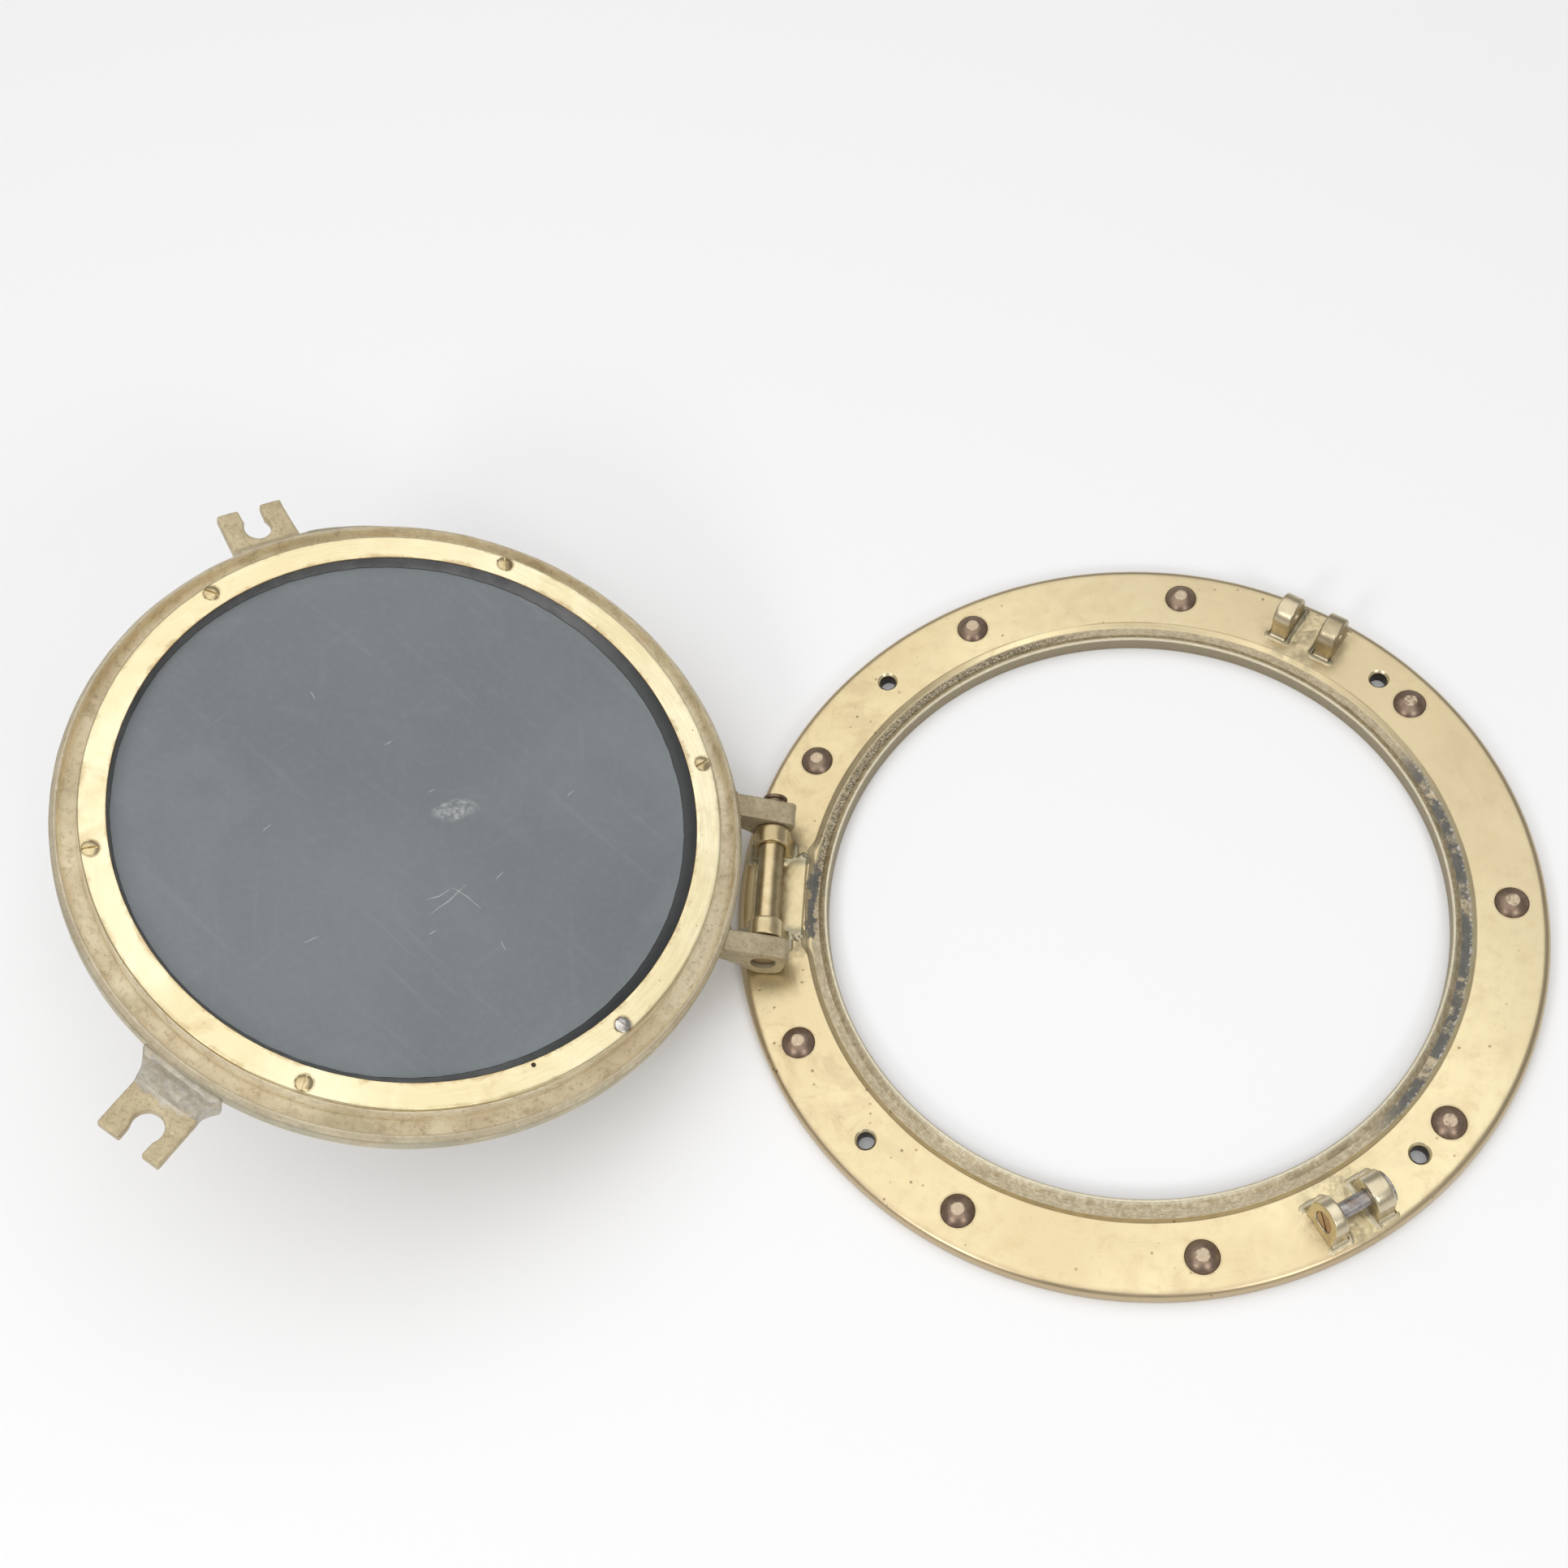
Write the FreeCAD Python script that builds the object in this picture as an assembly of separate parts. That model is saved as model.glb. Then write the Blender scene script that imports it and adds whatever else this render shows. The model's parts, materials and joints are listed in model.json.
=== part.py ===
import FreeCAD, Part
import math, os

# Opening porthole: a flat mounting ring, and a round window frame hinged to it.
# Units are millimetres. +Z is up, off the face the ring lies on. The origin is the
# centre of the ring's back face. The hinge is at -X, its pin runs along Y.
# Window pieces are laid out shut, over the ring, and then turned open about the pin.

os.makedirs("parts", exist_ok=True)
V = FreeCAD.Vector

# ---- mounting ring ----
BASE_R = 190.5            # outside radius of the ring
BASE_T = 7.8              # thickness, back face to flat front face
BASE_EDGE_R = 4.1         # rounding of the outer front edge
FLAT_IN_R = 157.4         # inner edge of the flat front face
GROOVE_OUT_R = 154.9      # foot of the bevel
GROOVE_IN_R = 151.0
GROOVE_D = 2.1            # depth of the seat groove below the flat
LIP_OUT_R = 148.4
LIP_H = 0.2               # lip top above the flat
BORE_R = 146.4
MOUNT_PCR = 173.05        # radius of the mounting hole circle
MOUNT_R = 4.0
MOUNT_CSK_R = 5.1
RIVET_PCR = 173.6
RIVET_R = 7.9
RIVET_H = 4.0
RIVET_SPOT_R = 2.7        # flat rubbed on the top of each dome
RIVET_SHANK_R = 2.4
RIVET_ANG = [25.9, 62.7, 98.9, 141.6, 180.0, -141.6, -98.9, -62.7, -25.9]  # from the hinge

# ---- hinge ----
PIN_X = -173.8
PIN_H = 13.1              # pin axis above the flat front face
PIN_R = 6.0
PIN_HEAD_Y = 47.0         # far end of the pin, past the far ear
KN_R = 8.6                # knuckle radius
KN_IN = 19.8              # inner face of each knuckle, from the middle
KN_OUT = 29.3
EAR_FAR = (29.7, 41.3)    # inner and outer face of the far window ear
EAR_NEAR = (30.8, 41.3)   # the near ear is a little thinner
EAR_HEEL = (9.0, 10.6)    # pin axis to the squared heel of the far and near ear
EAR_BORE_R = 6.06         # 0.06 running clearance on the pin
OPEN_DEG = 158.5          # how far the window stands open from shut

# ---- dog bolt lugs on the ring ----
LUG_PCR = 174.8
LUG_R = 9.0
LUG_H = 9.4               # pin hole above the flat face
LUG_T = 9.4               # thickness of each lug
LUG_GAP = 14.6            # clear gap between a pair
LUG_HOLE_R = 3.75
COLLAR_R = 7.4            # disc riveted over the end of the pin in the near pair
LUG_FAR_DEG = 120.9       # from the hinge
LUG_NEAR_DEG = -121.2

# ---- window, laid out shut, heights from the ring's flat face ----
RIM_R = 157.5
RIDGE_R = 155.3
RIDGE_IN_R = 153.9
RIDGE_Z = -0.1
CHAN_OUT_R = 152.8
SPIGOT_R = 145.5
CHAN_Z = 8.4              # bottom of the gasket channel
SEAT_Z = -4.4             # spigot face that carries the retaining ring
FACE_Z = -6.9             # face of the retaining ring
POCKET_R = 136.9
POCKET_Z = 3.6            # glass pocket floor
SIGHT_R = 125.5           # front sight opening
CROWN_Z = 15.0
RET_IN_R = 133.0
RET_OUT_R = 145.4
SCREW_PCR = 140.8
SCREW_HEAD_R = 3.9
SCREW_R = 1.6
SCREW_ANG0 = 40.0         # first screw, from +X when shut, then every 60
SLOT_TURN = [12, 75, 140, 33, 98, 160]
BACK_Z = -1.9             # painted back of the mirror
PAINT_T = 0.4
GLASS_T = 3.6
GLASS_R = 136.5
BEAD_R = 129.7            # where the glazing bead meets the pane
BEAD_OFF = 2.0            # the bead is laid a little off centre
NICK_DEG = 117.7          # from the hinge
FORK_Z = 19.0             # underside of the fork plates
FORK_T = 5.6
FORK_FAR_DEG = 122.9      # from the hinge
FORK_NEAR_DEG = -118.9


def at(deg):
    """Angle from the hinge, as an angle from +X."""
    return math.radians(180.0 - deg)


def wire_face(pts):
    """Face in the XZ plane from (x, z) corners; a 3-tuple is the mid point of an arc."""
    edges = []
    prev = pts[0]
    i = 1
    loop = pts + [pts[0]]
    while i < len(loop):
        p = loop[i]
        if len(p) == 3:
            q = loop[i + 1]
            edges.append(Part.Arc(V(prev[0], 0, prev[1]), V(p[0], 0, p[1]), V(q[0], 0, q[1])).toShape())
            prev = q
            i += 2
        else:
            edges.append(Part.LineSegment(V(prev[0], 0, prev[1]), V(p[0], 0, p[1])).toShape())
            prev = p
            i += 1
    return Part.Face(Part.Wire(edges))


def revolve(pts):
    return wire_face(pts).revolve(V(0, 0, 0), V(0, 0, 1), 360)


def arc_mid(cx, cz, r, deg):
    a = math.radians(deg)
    return (cx + r * math.cos(a), cz + r * math.sin(a), 1)


def cyl(r, h, pos, axis=V(0, 0, 1)):
    return Part.makeCylinder(r, h, pos, axis)


def as_solid(s):
    s = s.removeSplitter()
    return s.Solids[0] if len(s.Solids) == 1 else s


def save(shape, name):
    shape.exportStep("parts/%s.step" % name)
    print(name, "solids", len(shape.Solids), "valid", shape.isValid(), "cm3 %.2f" % (shape.Volume / 1000.0))


T = BASE_T
PIN_Z = T + PIN_H

# ---------------------------------------------------------------- ring
base = revolve([
    (BORE_R, 0), (BASE_R - 0.6, 0), (BASE_R, 0.6), (BASE_R, T - BASE_EDGE_R),
    arc_mid(BASE_R - BASE_EDGE_R, T - BASE_EDGE_R, BASE_EDGE_R, 45),
    (BASE_R - BASE_EDGE_R, T), (FLAT_IN_R, T), (GROOVE_OUT_R, T - GROOVE_D + 0.2),
    (GROOVE_OUT_R - 0.6, T - GROOVE_D), (GROOVE_IN_R, T - GROOVE_D),
    (LIP_OUT_R, T + LIP_H - 0.5), (LIP_OUT_R - 0.6, T + LIP_H), (BORE_R + 0.7, T + LIP_H),
    (BORE_R, T + LIP_H - 0.7)])
cuts = []
for d in (45, 135, -45, -135):
    c = V(MOUNT_PCR * math.cos(at(d)), MOUNT_PCR * math.sin(at(d)), 0)
    cuts.append(cyl(MOUNT_R, T + 2, c + V(0, 0, -1)))
    cuts.append(Part.makeCone(MOUNT_R, MOUNT_CSK_R + 1.0, 2.1, c + V(0, 0, T - 1.1)))
rivets = []
for d in RIVET_ANG:
    c = V(RIVET_PCR * math.cos(at(d)), RIVET_PCR * math.sin(at(d)), 0)
    cuts.append(cyl(RIVET_SHANK_R, T + 2, c + V(0, 0, -1)))
    sr = (RIVET_R ** 2 + RIVET_H ** 2) / (2 * RIVET_H)
    zc = RIVET_H - sr
    top = zc + math.sqrt(sr ** 2 - RIVET_SPOT_R ** 2)
    a0 = math.degrees(math.atan2(-zc, RIVET_R))
    a1 = math.degrees(math.atan2(top - zc, RIVET_SPOT_R))
    dome = revolve([(0, -T), (RIVET_SHANK_R, -T), (RIVET_SHANK_R, 0), (RIVET_R, 0),
                    arc_mid(0, zc, sr, (a0 + a1) / 2), (RIVET_SPOT_R, top), (0, top)])
    dome.translate(c + V(0, 0, T))
    rivets.append(dome)
base = as_solid(base.cut(cuts))
save(base, "base_ring")
save(Part.makeCompound(rivets), "dome_rivets")

# ---------------------------------------------------------------- hinge bracket and pin
# Two knuckles on a low pad; each is a round head on a foot that spreads to the pad.
def xz_prism(pts, y0, y1):
    f = wire_face(pts)
    f.translate(V(0, y0, 0))
    return f.extrude(V(0, y1 - y0, 0))


pad = xz_prism([(-183.6, T), (-157.5, T), (-157.5, T + 0.6), (-158.4, T + 1.5),
                (-182.6, T + 1.5), (-183.6, T + 0.6)], -KN_IN - 1.0, KN_IN + 1.0)
bracket = pad
for s in (1, -1):
    y0, y1 = (KN_IN, KN_OUT) if s > 0 else (-KN_OUT, -KN_IN)
    head = cyl(KN_R, y1 - y0, V(PIN_X, y0, PIN_Z), V(0, 1, 0))
    head = head.makeChamfer(0.7, [e for e in head.Edges if e.Closed and abs(e.Length - 2 * math.pi * KN_R) < 0.1])
    k = math.sqrt(KN_R ** 2 - 2.6 ** 2)
    foot = xz_prism([(PIN_X - k, PIN_Z - 2.6), (PIN_X - k - 0.5, T + 4.6),
                     (PIN_X - k - 1.4, T + 2.0, 1), (PIN_X - k - 3.6, T),
                     (PIN_X + k + 4.2, T), (PIN_X + k + 1.6, T + 1.8, 1),
                     (PIN_X + k + 0.5, T + 4.6), (PIN_X + k, PIN_Z - 2.6)], y0 + 0.7, y1 - 0.7)
    bracket = bracket.fuse(head).fuse(foot)
bracket = as_solid(bracket.cut(cyl(PIN_R, 80, V(PIN_X, -40, PIN_Z), V(0, 1, 0))))
save(bracket, "hinge_bracket")

# headed at the far end, past a short neck; the near end sits inside its ear
near_end = -(EAR_NEAR[1] - 1.6)
pin = cyl(PIN_R, EAR_FAR[1] + 0.7 - near_end, V(PIN_X, near_end, PIN_Z), V(0, 1, 0))
pin = pin.makeChamfer(0.6, [e for e in pin.Edges if e.Closed and e.CenterOfMass.y < -10
                            and abs(e.Length - 2 * math.pi * PIN_R) < 0.1])
pin_head = cyl(PIN_R, 1.9, V(PIN_X, PIN_HEAD_Y - 1.9, PIN_Z), V(0, 1, 0))
pin_head = pin_head.makeFillet(0.5, [e for e in pin_head.Edges if e.Closed and e.CenterOfMass.y > PIN_HEAD_Y - 0.1
                                     and abs(e.Length - 2 * math.pi * PIN_R) < 0.1])
pin = as_solid(pin.fuse(cyl(4.9, 5.0, V(PIN_X, EAR_FAR[1] + 0.2, PIN_Z), V(0, 1, 0))).fuse(pin_head))
save(pin, "hinge_pin")

# ---------------------------------------------------------------- dog bolt lugs
# Each lug is a round head on a spread foot, with the pin hole along the tangent.
def lug(deg, side, bored):
    a = at(deg)
    t0 = LUG_GAP / 2.0 if side > 0 else -LUG_GAP / 2.0 - LUG_T
    head = cyl(LUG_R, LUG_T, V(0, t0, T + LUG_H), V(0, 1, 0))
    head = head.makeChamfer(0.6, [e for e in head.Edges if e.Closed and abs(e.Length - 2 * math.pi * LUG_R) < 0.1])
    k = math.sqrt(LUG_R ** 2 - 1.5 ** 2)
    foot = xz_prism([(-k, T + LUG_H - 1.5), (-k - 0.5, T + 4.0), (-k - 1.2, T + 1.6, 1), (-k - 3.0, T),
                     (k + 2.6, T), (k + 1.1, T + 1.6, 1), (k + 0.5, T + 4.0), (k, T + LUG_H - 1.5)],
                    t0 + 0.6, t0 + LUG_T - 0.6)
    s = head.fuse(foot).cut(cyl(LUG_HOLE_R, 60, V(0, -30, T + LUG_H), V(0, 1, 0)))
    if bored:
        s = s.cut(cyl(5.7, 2.7, V(0, t0 + LUG_T - 2.6, T + LUG_H), V(0, 1, 0)))
    s = as_solid(s)
    s.translate(V(LUG_PCR, 0, 0))
    s.rotate(V(0, 0, 0), V(0, 0, 1), math.degrees(a))
    return s


save(lug(LUG_FAR_DEG, 1, False), "dog_lug_far_a")
save(lug(LUG_FAR_DEG, -1, False), "dog_lug_far_b")
# on the near side the tangent +Y of the lug frame points to the right-hand lug
save(lug(LUG_NEAR_DEG, 1, False), "dog_lug_near_a")
near_b = lug(LUG_NEAR_DEG, -1, False)
t_end = -LUG_GAP / 2.0 - LUG_T
cb = cyl(5.7, 2.7, V(LUG_PCR, t_end - 0.1, T + LUG_H), V(0, 1, 0))
cb.rotate(V(0, 0, 0), V(0, 0, 1), math.degrees(at(LUG_NEAR_DEG)))
save(as_solid(near_b.cut(cb)), "dog_lug_near_b")

dp = cyl(LUG_HOLE_R, -t_end * 2 + 1.6 - 2.6, V(LUG_PCR, t_end + 2.6, T + LUG_H), V(0, 1, 0))
dp = dp.fuse(cyl(5.4, 2.0, V(LUG_PCR, t_end + 0.6, T + LUG_H), V(0, 1, 0)))
collar = cyl(COLLAR_R, 1.5, V(LUG_PCR, -t_end, T + LUG_H), V(0, 1, 0))
collar = collar.makeFillet(0.6, [e for e in collar.Edges if e.Closed and e.CenterOfMass.y > -t_end + 1.0
                                 and abs(e.Length - 2 * math.pi * COLLAR_R) < 0.1])
dp = dp.fuse(collar)
slot = Part.makeBox(14, 1.3, 1.2, V(LUG_PCR - 7, t_end + 0.5, T + LUG_H - 0.6))
slot.rotate(V(LUG_PCR, 0, T + LUG_H), V(0, 1, 0), 43)
dp = as_solid(dp.cut(slot))
dp.rotate(V(0, 0, 0), V(0, 0, 1), math.degrees(at(LUG_NEAR_DEG)))
save(dp, "dog_pin")

# ---------------------------------------------------------------- window, laid out shut
frame = revolve([
    (RIDGE_R, RIDGE_Z), (RIM_R, 3.6), (RIM_R, 8.4), (156.6, 11.9, 1), (153.4, 14.2),
    (150.6, CROWN_Z), (147.2, CROWN_Z), (142.6, 10.4, 1), (136.6, 8.0), (SIGHT_R + 1.2, 6.9),
    (SIGHT_R, 6.2), (SIGHT_R, POCKET_Z), (POCKET_R, POCKET_Z), (POCKET_R, SEAT_Z),
    (SPIGOT_R, SEAT_Z), (SPIGOT_R + 0.3, CHAN_Z - 1.0), (SPIGOT_R + 1.3, CHAN_Z),
    (CHAN_OUT_R - 0.9, CHAN_Z), (CHAN_OUT_R, CHAN_Z - 0.9), (RIDGE_IN_R, RIDGE_Z)])
wcuts = []
rcuts = []
screws = []
for i in range(6):
    a = math.radians(SCREW_ANG0 + 60 * i)
    c = V(SCREW_PCR * math.cos(a), SCREW_PCR * math.sin(a), 0)
    wcuts.append(cyl(SCREW_R, 7.5, c + V(0, 0, SEAT_Z - 0.1)))
    rcuts.append(cyl(SCREW_R, 6, c + V(0, 0, SEAT_Z - 4)))
    rcuts.append(Part.makeCone(SCREW_HEAD_R + 0.84, SCREW_R, 2.18, c + V(0, 0, FACE_Z - 0.5)))
    # countersunk head with a low dome; the driver slot is cut across it
    n = FACE_Z
    hd = revolve([(0, SEAT_Z + 6.5), (SCREW_R - 0.4, SEAT_Z + 6.5), (SCREW_R, SEAT_Z + 5.9), (SCREW_R, n + 1.6),
                  (SCREW_HEAD_R + 0.0, n), (2.2, n - 0.62, 1), (0, n - 0.8)])
    s = Part.makeBox(9, 0.95, 1.4, V(-4.5, -0.475, n - 0.9))
    s.rotate(V(0, 0, 0), V(0, 0, 1), SLOT_TURN[i])
    hd = as_solid(hd.cut(s))
    hd.translate(c)
    screws.append(hd)
# a wedge-shaped nick through the rim's lip, beside the far fork
nick = Part.Face(Part.makePolygon([V(154.9, -1.4, 0), V(157.5, -3.0, 0), V(161.0, -3.6, 0), V(161.0, 4.2, 0),
                                   V(157.5, 1.2, 0), V(154.9, -1.4, 0)])).extrude(V(0, 0, 9.0))
nick.translate(V(0, 0, -1.0))
nick.rotate(V(0, 0, 0), V(0, 0, 1), math.degrees(at(NICK_DEG)))
wcuts.append(nick)
frame = as_solid(frame.cut(wcuts))

ring = revolve([(RET_IN_R, SEAT_Z), (RET_OUT_R, SEAT_Z), (RET_OUT_R, FACE_Z + 0.6), (RET_OUT_R - 0.6, FACE_Z),
                (RET_IN_R + 0.4, FACE_Z), (RET_IN_R, FACE_Z + 0.4)])
SPARE = V(135.4 * math.cos(at(-58.6)), 135.4 * math.sin(at(-58.6)), SEAT_Z - 4)   # unused screw hole
rcuts.append(cyl(1.0, 6, SPARE))
ring = as_solid(ring.cut(rcuts))

# glazing bead: sloped inside face, round at the pane and round at the ring
bead = cyl(POCKET_R, SEAT_Z - BACK_Z if SEAT_Z > BACK_Z else BACK_Z - SEAT_Z, V(0, 0, SEAT_Z))
bead = bead.fuse(cyl(RET_IN_R, SEAT_Z - (FACE_Z + 0.6), V(0, 0, FACE_Z + 0.6)))
w0 = Part.Wire([Part.Circle(V(0, 0, FACE_Z), V(0, 0, 1), RET_IN_R - 0.1).toShape()])
w1 = Part.Wire([Part.Circle(V(BEAD_OFF, 0, BACK_Z + 0.01), V(0, 0, 1), BEAD_R).toShape()])
bead = as_solid(bead.cut(Part.makeLoft([w0, w1], True, True)))

backing = cyl(GLASS_R, PAINT_T, V(0, 0, BACK_Z))
glass = cyl(GLASS_R, GLASS_T, V(0, 0, BACK_Z + PAINT_T))
glass = glass.makeChamfer(0.5, [e for e in glass.Edges if e.Closed and e.CenterOfMass.z > 0])
gz = BACK_Z + PAINT_T + GLASS_T
bed = cyl(POCKET_R - 0.3, POCKET_Z - gz, V(0, 0, gz)).cut(cyl(SIGHT_R + 1.0, 5, V(0, 0, gz - 1)))

# hinge ears: flat towards the ring, squared heel, and a round lower side that meets
# the ring's face when the window is fully open
def ear(s):
    c, w = math.cos(math.radians(OPEN_DEG)), math.sin(math.radians(OPEN_DEG))
    reach = PIN_H - 0.35
    n = (-w, -c)                     # direction that points straight down when open
    tx, tz = n[0] * reach, n[1] * reach
    fx, fz = tx - c * 3.0, tz + w * 3.0
    h = EAR_HEEL[0] if s > 0 else EAR_HEEL[1]
    hz = math.sqrt(reach ** 2 - h ** 2)
    a0 = math.degrees(math.atan2(hz, -h))
    a1 = math.degrees(math.atan2(tz, tx))
    am = math.radians((a0 + a1) / 2)
    pts = [(26, -9.6), (3.0 - h, -9.6), (0.88 - h, -8.72, 1), (-h, -6.6), (-h, hz),
           (reach * math.cos(am), reach * math.sin(am), 1), (tx, tz), (fx, fz), (fx + 3.4, fz - 0.5),
           (11, 6.4), (26, 1.0)]
    y0, y1 = EAR_FAR if s > 0 else (-EAR_NEAR[1], -EAR_NEAR[0])
    e = xz_prism(pts, y0, y1)
    e.translate(V(PIN_X, 0, PIN_H))
    e = e.cut(cyl(156.2, 80, V(0, 0, -20)))
    bore = cyl(EAR_BORE_R, 100, V(PIN_X, -50, PIN_H), V(0, 1, 0))
    if s < 0:                        # eased mouth where the pin end shows
        bore = bore.fuse(Part.makeCone(EAR_BORE_R + 0.8, EAR_BORE_R, 0.8, V(PIN_X, y0, PIN_H), V(0, 1, 0)))
    e = e.cut(bore).cut(frame)
    so = sorted(e.Solids, key=lambda q: -q.Volume)[0]
    return so


# forks: a plate with a keyhole slot, on a root that comes down to the rim. The two are
# not quite alike. flanks: tangential extent; seat: radial, tangential, radius; mouth:
# half widths at the seat and at the tips
def fork(deg, flanks, tip_r, seat, mouth):
    root = xz_prism([(149.5, FORK_Z + FORK_T), (tip_r, FORK_Z + FORK_T), (tip_r, FORK_Z), (168.5, FORK_Z),
                     (163.0, FORK_Z - 2.5), (159.4, 6.0), (149.5, 6.0)], flanks[0], flanks[1])
    cz = FORK_Z - 20
    sx, sy, sr = seat
    slot = Part.Face(Part.makePolygon([V(sx, sy - mouth[0], cz), V(tip_r + 4, sy - mouth[1], cz),
                                       V(tip_r + 4, sy + mouth[1], cz), V(sx, sy + mouth[0], cz),
                                       V(sx, sy - mouth[0], cz)])).extrude(V(0, 0, 50))
    s = root.cut([cyl(sr, 50, V(sx, sy, cz)), slot])
    # flank flare towards the rim is taken off above the crown
    s = s.cut(cyl(149.5, 80, V(0, 0, -20)))
    s.rotate(V(0, 0, 0), V(0, 0, 1), math.degrees(at(deg)))
    s = s.cut(frame)
    return sorted(s.Solids, key=lambda q: -q.Volume)[0]


window = {
    "window_frame": frame, "retaining_ring": ring, "retaining_screws": Part.makeCompound(screws),
    "glazing_bead": bead, "bedding_gasket": bed, "mirror_glass": glass, "mirror_backing": backing,
    "hinge_ear_far": ear(1), "hinge_ear_near": ear(-1),
    "dog_fork_far": fork(FORK_FAR_DEG, (-16.75, 15.85), 189.3, (177.6, -0.4, 6.8), (5.2, 6.0)),
    "dog_fork_near": fork(FORK_NEAR_DEG, (-16.9, 15.5), 191.1, (180.6, -2.1, 7.4), (6.5, 5.9))}
for name in window:
    s = window[name].copy()
    s.translate(V(0, 0, T))
    # opening swings the window up and over towards -X
    s.rotate(V(PIN_X, 0, PIN_Z), V(0, 1, 0), -OPEN_DEG)
    save(s, name)
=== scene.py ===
import bpy, bmesh, json, math, random
import numpy as np
from mathutils import Matrix, Vector, noise


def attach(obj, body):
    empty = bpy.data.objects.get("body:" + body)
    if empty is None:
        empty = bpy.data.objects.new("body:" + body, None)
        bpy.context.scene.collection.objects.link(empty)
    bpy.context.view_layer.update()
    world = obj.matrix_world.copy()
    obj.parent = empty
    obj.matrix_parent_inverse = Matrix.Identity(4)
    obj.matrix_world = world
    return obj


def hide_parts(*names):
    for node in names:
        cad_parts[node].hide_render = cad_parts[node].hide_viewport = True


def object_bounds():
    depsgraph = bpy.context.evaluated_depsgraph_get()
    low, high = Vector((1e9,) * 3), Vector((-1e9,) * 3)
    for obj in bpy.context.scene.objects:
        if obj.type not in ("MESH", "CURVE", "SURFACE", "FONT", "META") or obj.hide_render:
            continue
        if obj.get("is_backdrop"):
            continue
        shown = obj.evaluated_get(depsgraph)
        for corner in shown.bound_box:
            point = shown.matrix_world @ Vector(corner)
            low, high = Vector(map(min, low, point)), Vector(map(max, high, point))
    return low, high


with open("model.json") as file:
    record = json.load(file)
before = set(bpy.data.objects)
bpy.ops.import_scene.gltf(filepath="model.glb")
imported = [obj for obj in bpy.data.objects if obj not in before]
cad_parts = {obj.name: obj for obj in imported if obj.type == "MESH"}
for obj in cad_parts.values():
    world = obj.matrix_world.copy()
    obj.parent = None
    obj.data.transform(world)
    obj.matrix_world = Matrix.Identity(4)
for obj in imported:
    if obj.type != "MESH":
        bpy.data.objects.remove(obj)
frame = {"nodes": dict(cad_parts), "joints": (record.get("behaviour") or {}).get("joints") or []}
cad_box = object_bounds()
random.seed(7)

# ------------------------------------------------------------------ frame facts
MM = 0.001
joint = frame["joints"][0]
HP = Vector(joint["pos_m"])
AX = Vector(joint["axis"]).normalized()
OPEN = math.radians(max(joint["range_deg"], key=abs))
# window pieces are modelled shut, over the ring, and placed open with this matrix
M_OPEN = Matrix.Translation(HP) @ Matrix.Rotation(-OPEN, 4, AX) @ Matrix.Translation(-HP)
M_SHUT = M_OPEN.inverted()
T = 7.8                    # ring thickness, mm
PIN_X, PIN_H = HP.x / MM, HP.z / MM - T
LUG_H, LUG_PCR, LUG_GAP, LUG_T = 9.4, 174.8, 14.6, 9.4
LUG_FAR, LUG_NEAR = 120.9, -121.2


def lean(me, sign=1.0):
    """Outer face of the near clevis's first lug: it slopes in towards its top."""
    for v in me.vertices:
        x, y, z = (q / MM for q in v.co)
        f = max(0.0, min(1.0, (-LUG_GAP / 2 - y) / LUG_T))
        v.co.y += f * f * 0.21 * max(0.0, z) * MM
    me.update()


FORK_FAR, FORK_NEAR = 122.9, -118.9
FACE_Z, SEAT_Z, BACK_Z, CHAN_Z = -6.9, -4.4, -1.9, 8.4


def polar(deg, r):
    """Point at an angle from the hinge, mm."""
    a = math.radians(180.0 - deg)
    return r * math.cos(a), r * math.sin(a)


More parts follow.
